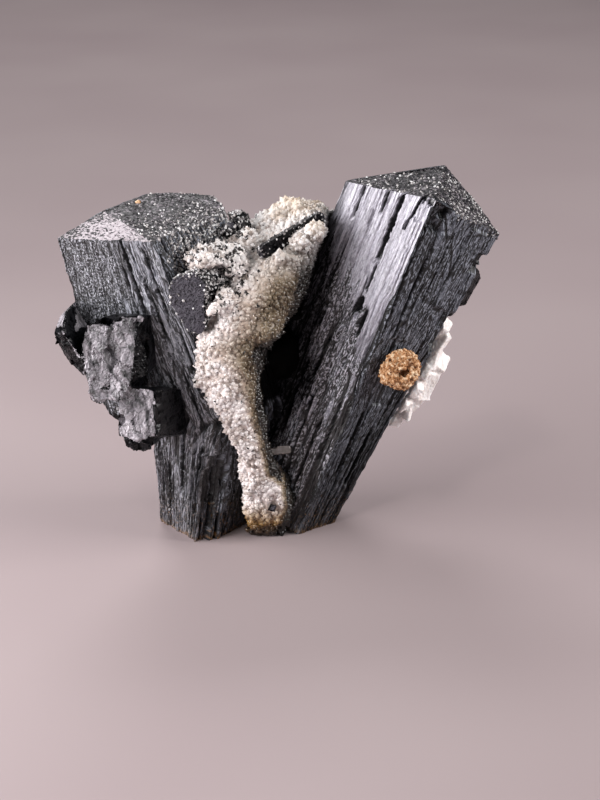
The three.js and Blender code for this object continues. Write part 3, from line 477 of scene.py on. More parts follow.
def broken_tip(side, across, along):
    """Chipped ledges on the lower right edge and the broken front corner of the tip, mm."""
    depth = chipped_edge(side, across, along)
    if side == "frontLeft":
        pit = (abs(across - 0.13 - 0.5 * (1 - along)) < 0.018) & (along > 0.91)
        corner = (across < 0.13) & (along > 0.975 + 0.02 * lattice_noise(across * 40, along, 931))
        depth = depth + 1.4 * pit + 0.6 * corner
    if side == "frontRight":
        ragged = 0.9 + 0.04 * lattice_noise(across * 24, along * 9, 932)
        lumps = lattice_noise(across * 22, along * 70, 933)
        lumps += 0.4 * lattice_noise(across * 60, along * 200, 934)
        lumps = (0.1 + lumps) * np.clip((across - 0.02) / 0.06, 0, 1)
        reach = np.clip((0.36 - across) / 0.16, 0, 1) * np.clip((along - ragged) / 0.012, 0, 1)
        depth = depth + 1.1 * lumps * reach
    return depth


def level_plane(z):
    """Three points of a level plane, mm."""
    return ((0, 0, z), (1, 0, z), (0, 1, z))


def close_foot(bm):
    """Merges the nets' shared borders and closes the open foot."""
    bmesh.ops.remove_doubles(bm, verts=bm.verts, dist=2e-7)
    rim = [edge for edge in bm.edges if edge.is_boundary]
    bmesh.ops.holes_fill(bm, edges=rim, sides=0)
    bmesh.ops.recalc_face_normals(bm, faces=bm.faces)


def right_crystal():
    """The largest crystal, with its chipped edge and broken tip."""
    bm = bmesh.new()
    specs = {"frontRight": DARK_WALL, "rightBack": WALL, "backLeft": WALL, "frontLeft": BRIGHT_WALL}
    prism_net(bm, RIGHT_PRISM, BULGED_SIDES, RIGHT_ROOF, (FLOOR_CUT,), (110, 150), 140, specs,
              RIGHT_SLOTS, RIGHT_SLATS, 400, broken_tip)
    close_foot(bm)
    return bm


def left_crystal():
    """The left crystal, and the more upright prism that forms its foot."""
    bm = bmesh.new()
    specs = {"frontRight": DARK_WALL, "rightBack": WALL, "backLeft": WALL, "frontLeft": DULL_WALL}
    prism_net(bm, LEFT_PRISM, BLUNT_SIDES, LEFT_ROOF, (LEFT_BROKEN_END, level_plane(21.5)), (100, 160), 84,
              specs, LEFT_SLOTS, LEFT_SLATS, 500, ragged_foot)
    close_foot(bm)
    specs["frontLeft"] = dict(WALL, splinter=0.3)
    prism_net(bm, FOOT_PRISM, PLAIN_SIDES, (level_plane(28),), (FLOOR_CUT,), (90, 110), 70,
              specs, FOOT_SLOTS, FOOT_SLATS, 600, ragged_top)
    close_foot(bm)
    return bm


# Fine skins for the smaller pieces

def solid_copy(*names):
    """A bmesh of CAD solids, their loose triangles merged."""
    bm = bmesh.new()
    for name in names:
        bm.from_mesh(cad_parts[name].data)
    bmesh.ops.remove_doubles(bm, verts=bm.verts, dist=1e-6)
    return bm


def even_skin(bm, voxel_mm, soften):
    """Rebuilds a closed skin as a fine even net, then softens it."""
    mesh = bpy.data.meshes.new("skin")
    bm.to_mesh(mesh)
    bm.free()
    carrier = bpy.data.objects.new("skin", mesh)
    bpy.context.scene.collection.objects.link(carrier)
    net = carrier.modifiers.new("net", "REMESH")
    net.mode = "VOXEL"
    net.voxel_size = voxel_mm * MM
    bpy.context.view_layer.update()
    ready = carrier.evaluated_get(bpy.context.evaluated_depsgraph_get())
    finished = bpy.data.meshes.new_from_object(ready)
    out = bmesh.new()
    out.from_mesh(finished)
    bpy.data.objects.remove(carrier)
    bpy.data.meshes.remove(mesh)
    bpy.data.meshes.remove(finished)
    for _ in range(soften):
        bmesh.ops.smooth_vert(out, verts=out.verts, factor=0.5,
                              use_axis_x=True, use_axis_y=True, use_axis_z=True)
    out.normal_update()
    return out


def roughen(bm, height):
    """Moves each vertex along its normal by height(place in mm, normal), in mm."""
    moves = [height(vert.co / MM, vert.normal) for vert in bm.verts]
    for vert, move in zip(bm.verts, moves):
        vert.co += vert.normal * (move * MM)
    bm.normal_update()


def stepped(value, steps):
    """Turns a slope into flat steps with short risers."""
    scaled = value * steps
    level = math.floor(scaled)
    return (level + min(1.0, (scaled - level) * 3)) / steps


def skin_spots(faces, per_mm2, share, seed):
    """Random spots on faces with their outward ways; share(place in mm, normal) thins them out."""
    rng = np.random.default_rng(seed)
    faces = list(faces)
    areas = np.array([face.calc_area() for face in faces])
    count = int(areas.sum() / MM ** 2 * per_mm2)
    spots = []
    for index in rng.choice(len(faces), size=count, p=areas / areas.sum()):
        face = faces[index]
        weights = rng.dirichlet([1.0] * len(face.verts))
        place = sum((vert.co * weight for vert, weight in zip(face.verts, weights)), Vector())
        if rng.random() < share(place / MM, face.normal):
            spots.append((place, face.normal.copy()))
    return spots


def quartz_point(sides=6, stand=0.6, top=1.1):
    """One small quartz crystal: a six-sided prism under a pyramid, foot at the origin, 1 across."""
    bm = bmesh.new()
    bmesh.ops.create_circle(bm, cap_ends=True, segments=sides, radius=0.5)
    skirt = bmesh.ops.extrude_face_region(bm, geom=bm.faces[:])
    ring = [item for item in skirt["geom"] if isinstance(item, bmesh.types.BMVert)]
    bmesh.ops.translate(bm, verts=ring, vec=(0, 0, stand))
    tip = bmesh.ops.poke(bm, faces=[f for f in bm.faces if all(v in ring for v in f.verts)])
    bmesh.ops.translate(bm, verts=tip["verts"], vec=(0, 0, top * 0.5))
    hidden = [f for f in bm.faces if all(abs(v.co.z) < 1e-6 for v in f.verts)]
    bmesh.ops.delete(bm, geom=hidden, context="FACES")
    bmesh.ops.recalc_face_normals(bm, faces=bm.faces)
    return bm


def rough_grain(detail=1, seed=1):
    """One small angular grain, 1 across."""
    bm = bmesh.new()
    bmesh.ops.create_icosphere(bm, subdivisions=detail, radius=0.5)
    rng = np.random.default_rng(seed)
    for vert in bm.verts:
        vert.co *= rng.uniform(0.75, 1.2)
    return bm


def copies(name, template, places, materials):
    """Many turned and scaled copies of one small shape as a single piece."""
    template.verts.index_update()
    shape = np.array([vert.co for vert in template.verts])
    loops = np.array([vert.index for face in template.faces for vert in face.verts])
    totals = np.array([len(face.verts) for face in template.faces])
    template.free()
    matrices = np.array([[list(row) for row in place] for place in places])
    turned = np.einsum("nij,vj->nvi", matrices[:, :3, :3], shape) + matrices[:, None, :3, 3]
    count = len(places)
    mesh = bpy.data.meshes.new(name)
    mesh.vertices.add(count * len(shape))
    mesh.vertices.foreach_set("co", turned.astype(np.float32).ravel())
    mesh.loops.add(count * len(loops))
    offsets = np.arange(count)[:, None] * len(shape)
    mesh.loops.foreach_set("vertex_index", (loops[None, :] + offsets).astype(np.int32).ravel())
    all_totals = np.tile(totals, count)
    starts = np.concatenate([[0], np.cumsum(all_totals)[:-1]])
    mesh.polygons.add(len(all_totals))
    mesh.polygons.foreach_set("loop_start", starts.astype(np.int32))
    mesh.polygons.foreach_set("loop_total", all_totals.astype(np.int32))
    mesh.update(calc_edges=True)
    for material in materials:
        mesh.materials.append(material)
    piece = bpy.data.objects.new(name, mesh)
    bpy.context.scene.collection.objects.link(piece)
    return piece


def standing(spot, way, size, tall, lean, rng, sink):
    """The place of a small crystal that stands on a spot, leaning a little off its way out."""
    tilt = Vector(rng.normal(0, lean, 3))
    aim = (way + tilt).normalized()
    turn = aim.to_track_quat("Z", "Y").to_matrix().to_4x4() @ Matrix.Rotation(rng.uniform(0, 6.28), 4, "Z")
    scale = Matrix.Diagonal((size * MM, size * MM, size * tall * MM, 1))
    return Matrix.Translation(spot - way * (sink * size * MM)) @ turn @ scale


def tumbled(spot, size, rng):
    """The place of a grain that lies on a spot, turned at random."""
    turn = Matrix.Rotation(rng.uniform(0, 6.28), 4, Vector(rng.normal(0, 1, 3)).normalized())
    deep = size * rng.uniform(0.7, 1.2)
    return Matrix.Translation(spot) @ turn @ Matrix.Diagonal((size * MM, deep * MM, size * MM, 1))


def dust(name, faces, per_mm2, sizes, share, seed):
    """Small loose quartz crystals that are sprinkled over a face."""
    rng = np.random.default_rng(seed)
    spots = skin_spots(faces, per_mm2, share, seed)
    places = [tumbled(spot, rng.uniform(*sizes), rng) for spot, _ in spots]
    return copies(name, quartz_point(), places, [quartz_dust])


def clumps(place, size):
    """A share from 0 to 1 that gathers spots in clumps, size mm apart."""
    return min(1.0, max(0.0, 0.5 + 1.6 * noise.noise(place / size)))


# Quartz druse

# Where the front of the crust ends at the dark cavity on its right: height and place across, mm
CRUST_EDGE = (
    (0, -0.8), (8, 1.3), (12.8, 0.6), (15.5, -2.0), (24.6, -3.3), (30, -4.4), (40.3, -4.4), (43.2, -2.0),
    (45.4, 1.6), (52, 3.8), (62, 7.5), (70, 10.0),
)
# Lumps that join the crust into one mass at the back, close the cavity behind, and fill up the crust round
# the middle crystal and under the blade: centre and radius, mm
CRUST_FILL = (
    (-9.8, 10.2, 19.0, 5.4), (-7.4, 10.4, 31.5, 5.2), (-11.0, 9.0, 5.0, 4.6), (-10.4, 8.2, 27.0, 4.4),
    (-4.6, 10.6, 42.0, 5.6), (-6.2, 12.4, 23.0, 3.6), (-9.8, 12.6, 33.6, 2.8), (0.4, 9.6, 49.6, 5.8),
    (-11.6, 10.6, 13.4, 3.8), (-1.0, 8.6, 34.0, 5.4), (3.4, -1.4, 58.4, 2.0), (-10.6, -5.4, 48.0, 3.3),
    (-8.4, -3.2, 53.2, 2.6), (-12.2, -7.6, 45.8, 2.0), (6.2, -2.0, 60.4, 1.6),
)
FOOT_CRYSTAL_SPOT = Vector((-1.8, -5.4, 7.9))  # mm
DRUSE_PARTS = 4  # pieces that the small crystals are shared out to


def druse_border(z):
    """How far to the right the crust reaches at a height before it ends at the dark cavity, mm."""
    return float(np.interp(z, *zip(*CRUST_EDGE)))


def druse_skin():
    """The crust as one mass: its front ends at the cavity, and a narrow strip runs down to the foot."""
    front, strip_top, crest = 3.0, 20, 62.6  # mm: the front's depth, the strip's top and the blade's level
    source = solid_copy("quartz_druse")
    for x, y, z, radius in CRUST_FILL:
        bmesh.ops.create_icosphere(source, subdivisions=3, radius=radius * MM,
                                   matrix=Matrix.Translation(Vector((x, y, z)) * MM))
    bm = even_skin(source, 0.5, 3)
    for vert in bm.verts:
        x, y, z = vert.co / MM
        border = druse_border(z) + 0.7 + 0.9 * noise.noise(vert.co / MM / 2.5)
        if x > border and y < front:
            vert.co.x = border * MM
        if z < strip_top and y < front:
            vert.co.x = max(vert.co.x, (-5.7 - 0.09 * z + 0.7 * noise.noise(vert.co / MM / 2.2)) * MM)
            vert.co.y = max(y, -0.8 - 0.47 * z + 0.7 * noise.noise(vert.co / MM / 1.8)) * MM
        if x > -2 and z > 55:
            vert.co.z = min(z, crest - 0.3 * max(0.0, x - 3) + 0.8 * noise.noise(vert.co / MM / 2)) * MM
    bm.normal_update()

    def height(place, normal):
        rear = min(1.0, max(0.0, (place.y - 6) / 4))
        broad = 0.4 * noise.noise(place / 3.0) + 1.3 * rear * noise.noise(place / 5.5 + Vector((4, 1, 7)))
        return 0.3 + broad + 0.06 * noise.noise(place / 1.1)

    roughen(bm, height)
    for vert in bm.verts:
        vert.co.z = max(vert.co.z, 0.0)
    return bm


def druse_crystals(bm, materials):
    """The small crystals that cover the crust, shared out to a few pieces."""
    rng = np.random.default_rng(70)

    def share(place, normal):
        if (place - FOOT_CRYSTAL_SPOT).length < 1.35:
            return 0
        beyond = place.x - druse_border(place.z) - 1.0
        in_cavity = min(1.0, max(0.0, beyond / 1.5)) * min(1.0, max(0.0, (11 - place.y) / 3))
        return 0 if place.z < 0.5 else 1 - in_cavity

    spots = skin_spots(bm.faces, 4.5, share, 71)
    made = []
    for index in range(DRUSE_PARTS):
        part = spots[index::DRUSE_PARTS]
        places = [standing(spot, way, rng.uniform(0.4, 1.1), rng.uniform(0.75, 1.2), 0.65, rng, 0.4)
                  for spot, way in part]
        made.append(copies(f"druse_crystals_{index + 1}", quartz_point(), places, materials))
    return made


# Side cluster, middle crystal and the small crystals

CLUSTER_DARK_FOOT = 26.5  # the lowest part of the cluster is dark and granular, mm


def chips(place, size, tilt):
    """Flat chips about size mm across, each tilted its own way; about -1 to 1."""
    centre = noise.voronoi(place / size)[1][0]
    way = noise.cell_vector(centre * 37.0) * 2 - Vector((1, 1, 1))
    return 0.5 * way.x + tilt * (place / size - centre).dot(way)


def fracture(place):
    """Hackly fracture: flat chips that run slantwise, with finer ones in rough patches, mm."""
    slanted = Vector((place.x * 0.95 + place.z * 0.3, place.y, place.z * 0.5 - place.x * 0.2))
    rough = max(0.0, noise.noise(place / 2.4 + Vector((1, 8, 2))) + 0.3)
    coarse, fine = chips(slanted, 2.5, 1.0), chips(slanted, 0.85, 1.0)
    return 0.62 * coarse + 0.5 * rough * fine + 0.1 * noise.noise(place / 0.35)


def cluster_hollow(place):
    """How deep a spot lies in the dark hollow near the top of the largest broken end, 0 to 1."""
    off = math.hypot((place.x + 31.2) / 2.7, (place.z - 48.4 + 0.25 * (place.x + 31.2)) / 1.5)
    return min(1.0, max(0.0, 2.2 * (1 - off) + 0.6 * noise.noise(place / 0.9)))


def pale_edge(place):
    """Whether a spot lies on the pale broken edges of the leftmost crystal."""
    wavy = place + noise.noise_vector(place / 1.2) * 0.7
    return (wavy.x < -37.9 and wavy.z > 46.2) or (-36.1 < wavy.x < -34.0 and wavy.z > 45.2)


def cluster_front(x, z):
    """Where the largest broken end lies from front to back, mm."""
    return -13.9 + 0.065 * (x + 25) + 0.27 * (z - 48.4)


def side_cluster(materials):
    """The cluster: its largest end reaches right to its wall, and only its front is broken."""
    bm = even_skin(solid_copy("side_cluster"), 0.24, 0)
    for vert in bm.verts:
        x, y, z = vert.co / MM
        back = np.clip((y - cluster_front(x, z) - 0.5) / 2.5, 0, 1)
        spread = np.clip((x + 29) / 2.5, 0, 1) * np.clip((z - 36) / 1.5, 0, 1)
        at_front = 0.5 + 1.1 * np.clip((z - 46.5) / 3, 0, 1)
        vert.co.x += MM * spread * (at_front * (1 - back) + 2.1 * back * np.clip((51 - z) / 9, 0.6, 1))
        vert.co.y += 0.6 * MM
    bm.normal_update()

    def height(place, normal):
        if normal.y < -0.55:
            return fracture(place) - 0.15 - 2.0 * cluster_hollow(place)
        bands = stepped(0.5 + 0.5 * noise.noise(Vector((place.x / 5, place.y / 5, place.z / 0.6))), 3) - 0.5
        front = max(0.0, min(1.0, (-14.5 - place.y) / 2.5)) if normal.x > 0.5 else 0.0
        flakes = max(0.0, noise.noise(Vector((3, place.y / 2, place.z / 1.3))) + 0.1)
        return 0.14 * bands + 0.05 * noise.noise(place / 0.5) - 0.05 - 1.5 * front * flakes

    for face in bm.faces:
        middle = face.calc_center_median() / MM
        broken = face.normal.y < -0.7 + 0.08 * noise.noise(middle / 0.8) and middle.z > CLUSTER_DARK_FOOT
        if middle.x > -29 and middle.z > 37:
            broken = broken and middle.y < cluster_front(middle.x, middle.z) + 1.9
        broken = broken or (face.normal.y < 0.2 and pale_edge(middle))
        # painted shade: broken faces in the hollow take the dark crystal material
        face.material_index = 0 if broken and cluster_hollow(middle) < 0.35 else 1
    roughen(bm, height)
    return shown("side_cluster_fine", bm, materials)


def dark_crystal(node, axis, voxel=0.22, deep=0.16):
    """A small ilvaite crystal: striations run along its axis, and its ends are rough."""
    bm = even_skin(solid_copy(node), voxel, 0)
    way = Vector(axis).normalized()
    side = way.orthogonal().normalized()
    other = way.cross(side)

    def height(place, normal):
        flat = Vector((place.dot(side) / 0.5, place.dot(other) / 0.5, place.dot(way) / 6))
        ends = abs(normal.dot(way)) > 0.7
        lines = stepped(0.5 + 0.5 * noise.noise(flat), 3) - 0.5
        return (0.5 * deep if ends else deep) * lines + 0.08 * noise.noise(place / 0.45) - 0.06

    for face in bm.faces:
        face.material_index = 1 if abs(face.normal.dot(way)) > 0.7 else 0
    roughen(bm, height)
    return bm


# Ball, crust and bar

BALL_MIDDLE = Vector((22.1 + SHIFT[0], 3.2 + SHIFT[1], 34.5))


def grain_ball(materials):
    """The ball with a slit in its front, and the loose grains on it."""
    bm = even_skin(solid_copy("brown_ball"), 0.2, 1)
    slit = Vector((0.55, 0, 0.75)).normalized()

    def height(place, normal):
        offset = place - (BALL_MIDDLE + Vector((0.9, -4.0, 0.4)))
        along = offset.dot(slit)
        across = offset.dot(slit.cross(Vector((0, 1, 0))).normalized())
        crack = max(0, 1 - (abs(along) / 2.1) ** 2) * max(0, 1 - abs(across) / 0.62)
        lumps = noise.voronoi(place / 0.8)[0][0]
        rough = 0.35 * noise.noise(place / 1.6) + 0.16 * noise.noise(place / 0.4)
        return 0.2 - 0.75 * lumps + rough - 2.2 * crack

    roughen(bm, height)
    rng = np.random.default_rng(81)
    spots = skin_spots(bm.faces, 2.0, lambda place, normal: 1, 82)
    places = [tumbled(spot, rng.uniform(0.35, 0.85), rng) for spot, _ in spots]
    ball = shown("brown_ball_fine", bm, materials)
    return ball, copies("brown_ball_grains", rough_grain(1, 5), places, materials)


def stretched(bm, point, scale):
    """Scales a shape about a point, mm."""
    middle = Matrix.Translation(Vector(point) * MM)
    bmesh.ops.transform(bm, verts=bm.verts, matrix=middle @ Matrix.Diagonal((*scale, 1)) @ middle.inverted())


def calcite_crust(materials):
    """The crust of small blocks, a little smaller than its solid and set closer to the crystal."""
    bm = even_skin(solid_copy("white_crust"), 0.28, 2)
    stretched(bm, (32.5, 0, 41.5), (0.9, 1, 0.9))
    bmesh.ops.translate(bm, verts=bm.verts, vec=(-0.5 * MM, -0.4 * MM, 0))

    def height(place, normal):
        blocks = stepped(0.5 + 0.5 * noise.noise(place / 1.5), 4) - 0.5
        return 0.35 * blocks + 0.08 * noise.noise(place / 0.4) - 0.05

    roughen(bm, height)
    return shown("white_crust_fine", bm, materials)


def clear_bar(materials):
    """The short clear bar, with faint waves along it."""
    bm = even_skin(solid_copy("bridge_crystal"), 0.14, 2)
    stretched(bm, (0, 0, 17.4), (1, 1, 1.35))

    def height(place, normal):
        return 0.06 * noise.noise(Vector((place.x / 3, place.y / 0.5, place.z / 0.5)))

    roughen(bm, height)
    return shown("bridge_crystal_fine", bm, materials, smooth=True)


# Materials

ILVAITE_IOR, QUARTZ_IOR, CALCITE_IOR = 1.9, 1.54, 1.6


def striated_ilvaite(name, dark, light, rough, sheen=None, grainy=None, gloss=0.5,
                     mottle=0.2, cavity=None, stops=(0.3, 0.48, 0.76), dim=0.5):
    """Ilvaite prism face: black, nearly metallic shine, broken by fine lengthwise striations.

    sheen: height along the crystal, mm, above which a painted sheen, a silvery colour that stands in for the
    light the smooth slabs reflect, lies over the splinters.
    grainy: range across the unrolled walls, mm, where the face is finely pitted instead of splintered.
    cavity: span across and span of height, mm, where the wall is painted near black, with less shine, as the
    shade of a cavity.
    dim: how much darker the wall is near its foot, 0 to 1.
    """
    material, tree, shader = new_material(name)
    shader.inputs["Specular IOR Level"].default_value = gloss
    along = add(tree, "UVMap", uv_map="along").outputs["UV"]
    split = add(tree, "SeparateXYZ", add(tree, "TexCoord").outputs["Object"]).outputs
    unrolled = add(tree, "SeparateXYZ", along).outputs
    drift = add(tree, "Mapping", along, Scale=(1.4, 0.5, 1))
    drift = add(tree, "TexNoise", drift, Scale=1.0, Detail=4, Roughness=0.7).outputs["Color"]
    bent = add(tree, "VectorMath", drift, (0.35, 3.0, 0), along, operation="MULTIPLY_ADD")

    def lengthwise(across, run, detail, roughness=0.65):
        """Noise with features about 1/across mm wide and 1/run mm long."""
        turned = add(tree, "Mapping", along, Scale=(across, run, 1))
        return add(tree, "TexNoise", turned, Scale=1.0, Detail=detail, Roughness=roughness)

    def cells(across, run, feature="F1"):
        """Long flat splinters about 1/across mm wide and 1/run mm long."""
        turned = add(tree, "Mapping", bent, Scale=(across, run, 1))
        return add(tree, "TexVoronoi", turned, Scale=1.0, voronoi_dimensions="2D", feature=feature)

    def weighted(total, *parts):
        """A start value with patterns added to it, each by its own weight."""
        for part, weight in parts:
            total = add(tree, "Math", part, weight, total, operation="MULTIPLY_ADD")
        return total

    # each splinter has its own grey; its border is a dark crack with a painted highlight along a rim beside
    # it
    fine, grain = lengthwise(4.5, 0.35, 4, 0.7), lengthwise(3.4, 1.2, 3, 0.7)
    wide = add(tree, "SeparateColor", cells(1.1, 0.13).outputs["Color"])
    thin = add(tree, "SeparateColor", cells(3.1, 0.5).outputs["Color"])
    border = cells(1.0, 0.12, "DISTANCE_TO_EDGE")
    crack = add(tree, "MapRange", border, 0.03, 0.08)
    cracked = add(tree, "MapRange", border, 0.03, 0.08, 0.93, 0.0)
    mean = weighted(-0.3 - 0.5 * mottle, (thin, 0.36), (wide, 0.34), (fine, 0.9), (grain, mottle))
    colour = add(tree, "ValToRGB", mean, stops=list(zip(stops, (dark, *light[:2]))))
    # painted glints: flecks of the lightest colour along the grain stand in for glints of light
    glint_edges = (0.535, 0.555) if sheen else (0.57, 0.62)
    painted_glints = add(tree, "MapRange", grain, *glint_edges, 0.0, 0.95)
    colour = add(tree, "Mix", painted_glints, A=colour, B=linear(light[2]), data_type="RGBA")
    rim_highlight = add(tree, "MapRange", grain, 0.46, 0.54, 0.0, 0.9)
    for side in ((0.07, 0.11), (0.17, 0.23, 1.0, 0.0)):
        rim_highlight = add(tree, "Math", rim_highlight, add(tree, "MapRange", border, *side), operation="MULTIPLY")
    colour = add(tree, "Mix", rim_highlight, A=colour, B=linear(light[2]), data_type="RGBA")
    bump_strength = 0.7
    if grainy:
        wavering = weighted(unrolled["X"], (wide, 4.0))
        start = add(tree, "MapRange", unrolled["X"], grainy[0] - 0.1, grainy[0])
        end = add(tree, "MapRange", wavering, grainy[1] + 1.0, grainy[1] + 3.0, 1.0, 0.0)
        inside = add(tree, "Math", start, end, operation="MULTIPLY")
        pits = lengthwise(2.5, 2.3, 3, 0.7)
        pitted = add(tree, "ValToRGB", pits, stops=[(0.47, dark), (0.5, light[0]), (0.58, light[2])])
        colour = add(tree, "Mix", inside, A=colour, B=pitted, data_type="RGBA")
        grain = weighted(grain, (add(tree, "Math", pits, inside, operation="MULTIPLY"), 1.5))
    if sheen:
        # painted sheen: a silvery colour over the upper slabs stands in for the light that they reflect
        slant, middle, lifted = 0.6, 72.0, 11.0  # the slabs start higher toward the front edge, mm
        low = -slant * middle
        height = add(tree, "MapRange", unrolled["X"], 67.8, 68.4, low, low + lifted)
        ragged = weighted(height, (unrolled["X"], slant), (unrolled["Y"], 1.0), (wide, 7.0),
                          (lengthwise(0.9, 0.14, 5, 0.7), 24.0))
        painted_sheen_mask = add(tree, "MapRange", ragged, sheen + 15, sheen + 18)
        streaks = weighted(-0.4, (wide, 0.12), (thin, 0.1), (fine, 0.8), (grain, 0.8))
        painted_sheen_colour = add(tree, "ValToRGB", streaks, stops=[(0.36, "#75737d"), (0.5, "#a3a1ac"),
                                                       (0.78, "#cbc9d3")])
        colour = add(tree, "Mix", painted_sheen_mask, A=colour, B=painted_sheen_colour, data_type="RGBA")
        # painted shade: the inner edge is coloured near black and shines less, as the shade of the gap,
        # widest at 32 mm up the crystal
        off_middle = add(tree, "Math", unrolled["Y"], 32.0, operation="SUBTRACT")
        off_middle = add(tree, "Math", off_middle, operation="ABSOLUTE")
        inwards = weighted(unrolled["X"], (off_middle, 0.25), (wide, 3.0))
        gap_shade = add(tree, "MapRange", inwards, 61.5, 65.0, 0.88, 0.0)
        colour = add(tree, "Mix", gap_shade, A=colour, B=linear("#050506"), data_type="RGBA")
        gloss = add(tree, "MapRange", gap_shade, 0.0, 0.88, gloss, 0.03)
        bump_strength = add(tree, "MapRange", painted_sheen_mask, 0.0, 1.0, 0.7, 0.3)
        fainter = add(tree, "MapRange", painted_sheen_mask, 0.0, 1.0, 1.0, 0.3)
        cracked = add(tree, "Math", cracked, fainter, operation="MULTIPLY")
    # painted shade: where the wall lies more than about 0.4 mm deep, its colour turns near black
    depth = add(tree, "Attribute", attribute_name="recess").outputs["Fac"]
    hollow = add(tree, "MapRange", weighted(depth, (grain, 0.3)), 0.4, 0.66, 0.0, 0.95)
    colour = add(tree, "Mix", hollow, A=colour, B=linear("#040405"), data_type="RGBA")
    colour = add(tree, "Mix", cracked, A=colour, B=linear("#050506"), data_type="RGBA")
    # painted shade: inside the cavity's span the colour turns near black and the shine drops
    if cavity:
        cavity_shade = 1.0
        for axis, (low, high), soft in zip("XZ", cavity, (0.6, 1.0)):
            start = add(tree, "MapRange", split[axis], (low - soft) * MM, low * MM)
            end = add(tree, "MapRange", split[axis], high * MM, (high + soft) * MM, 1.0, 0.0)
            for part in (start, end):
                cavity_shade = add(tree, "Math", cavity_shade, part, operation="MULTIPLY")
        colour = add(tree, "Mix", cavity_shade, A=colour, B=linear("#030303"), data_type="RGBA")
        gloss = add(tree, "MapRange", cavity_shade, 0.0, 1.0, gloss, 0.02)
    # the wall is darker towards its foot, with rust on its lowest grains and a few stains above them
    level = weighted(split["Z"], (grain, -0.003))
    rust = 0.0
    for (low, high), edges in (((-1.3, -0.4), (0.45, 0.55)), ((2.0, 8.0), (0.58, 0.62))):
        near_foot = add(tree, "MapRange", level, low * MM, high * MM, 0.8, 0.0)
        patch = add(tree, "Math", near_foot, add(tree, "MapRange", grain, *edges), operation="MULTIPLY")
        rust = add(tree, "Math", rust, patch, operation="MAXIMUM")
    darker_low = add(tree, "MapRange", split["Z"], 12 * MM, 36 * MM, dim, 0.0)
    colour = add(tree, "Mix", darker_low, A=colour, B=linear("#050506"), data_type="RGBA")
    colour = add(tree, "Mix", rust, A=colour, B=linear("#7d5a2f"), data_type="RGBA")
    bump = add(tree, "Bump", Height=weighted(crack, (fine, 1.0), (grain, 1.0), (thin, 0.5)),
               Strength=bump_strength, Distance=0.12 * MM)
    roughness = add(tree, "MapRange", mean, 0.3, 0.76, rough + 0.16, rough - 0.08)
    connect(tree, shader, {"Base Color": colour, "Roughness": roughness, "IOR": ILVAITE_IOR, "Normal": bump})
    if sheen or cavity:
        connect(tree, shader, {"Specular IOR Level": gloss})
    return material


def etched_ilvaite(name, dark, light, rough, pit_mm, pit_share=0.42, deep=0.14, specks=None,
                   gloss=0.5, worn=None):
    """Ilvaite end face: etched into small pits, which break the shine into a fine mottle.

    specks: share of the face under a dust of quartz too fine to stand out, 0 to 1.
    worn: a point on an edge, mm, and the way inwards from it; pits lie closer along that edge.
    """
    material, tree, shader = new_material(name)
    place = add(tree, "TexCoord").outputs["Object"]
    grain = add(tree, "TexNoise", place, Scale=0.5 * apart(pit_mm), Detail=4, Roughness=0.7)
    broad = add(tree, "TexNoise", place, Scale=0.09 * apart(pit_mm), Detail=2)
    shift = add(tree, "Math", broad, 0.2, -0.1, operation="MULTIPLY_ADD")
    mixed = add(tree, "Math", grain, shift, operation="ADD")
    if worn:
        start, inwards = worn
        off = add(tree, "VectorMath", place, [c * MM for c in start], operation="SUBTRACT")
        far = add(tree, "VectorMath", off, inwards, operation="DOT_PRODUCT")
        lower = add(tree, "MapRange", far, 0.0, 6 * MM, -0.07, 0.01)
        mixed = add(tree, "Math", mixed, lower, operation="ADD")
    solid = add(tree, "MapRange", mixed, pit_share - 0.02, pit_share + 0.03)
    colour = add(tree, "ValToRGB", solid, stops=[(0.0, dark), (1.0, light)])
    if specks:
        gloss = 0.18
        salt = add(tree, "TexNoise", place, Scale=apart(0.5263), Detail=3, Roughness=0.75)
        patch = add(tree, "TexNoise", place, Scale=apart(4.348), Detail=3)
        likely = add(tree, "Math", patch, 0.2, specks - 0.6, operation="MULTIPLY_ADD")
        value = add(tree, "Math", salt, likely, operation="ADD")
        grey = add(tree, "ValToRGB", value, stops=[(0.5, "#000000"), (0.56, "#2f2c30"), (0.64, "#9a9298")])
        colour = add(tree, "Mix", 1.0, A=colour, B=grey, data_type="RGBA", blend_type="ADD")
    shader.inputs["Specular IOR Level"].default_value = gloss
    shine = add(tree, "MapRange", solid, 0.0, 1.0, 0.25 * gloss, gloss)
    bump = add(tree, "Bump", Height=mixed, Strength=0.8, Distance=deep * MM)
    connect(tree, shader, {"Base Color": colour, "Roughness": rough, "IOR": ILVAITE_IOR, "Normal": bump,
                           "Specular IOR Level": shine})
    return material


def broken_ilvaite(name, dark, light):
    """Broken ilvaite: uneven fracture with a greasy grey sheen, lighter than the crystal faces."""
    material, tree, shader = new_material(name)
    place = add(tree, "TexCoord").outputs["Object"]
    turned = add(tree, "Mapping", place, Rotation=(0.2, 0.3, 0.5),
                 Scale=[apart(size) for size in (1.111, 1.111, 2.381)])
    patches = add(tree, "TexNoise", turned, Scale=0.6, Detail=6, Roughness=0.65, Distortion=0.8)
    grain = add(tree, "TexNoise", place, Scale=apart(0.3125), Detail=4, Roughness=0.7)
    colour = add(tree, "ValToRGB", patches, stops=[(0.38, dark), (0.5, "#7f7a80"), (0.66, light)])
    # dark lines round crooked plates
    bent = add(tree, "VectorMath", patches.outputs["Color"], (0.9, 0.9, 0.9), turned,
               operation="MULTIPLY_ADD")
    plates = add(tree, "TexVoronoi", bent, Scale=0.7, feature="DISTANCE_TO_EDGE")
    line = add(tree, "MapRange", plates, 0.015, 0.06, 0.85, 0.0)
    some = add(tree, "MapRange", grain, 0.42, 0.5)
    cracked = add(tree, "Math", line, some, operation="MULTIPLY")
    colour = add(tree, "Mix", cracked, A=colour, B=linear(dark), data_type="RGBA")
    bump = add(tree, "Bump", Height=grain, Strength=0.8, Distance=0.08 * MM)
    connect(tree, shader, {"Base Color": colour, "Roughness": 0.5, "IOR": ILVAITE_IOR, "Normal": bump})
    return material


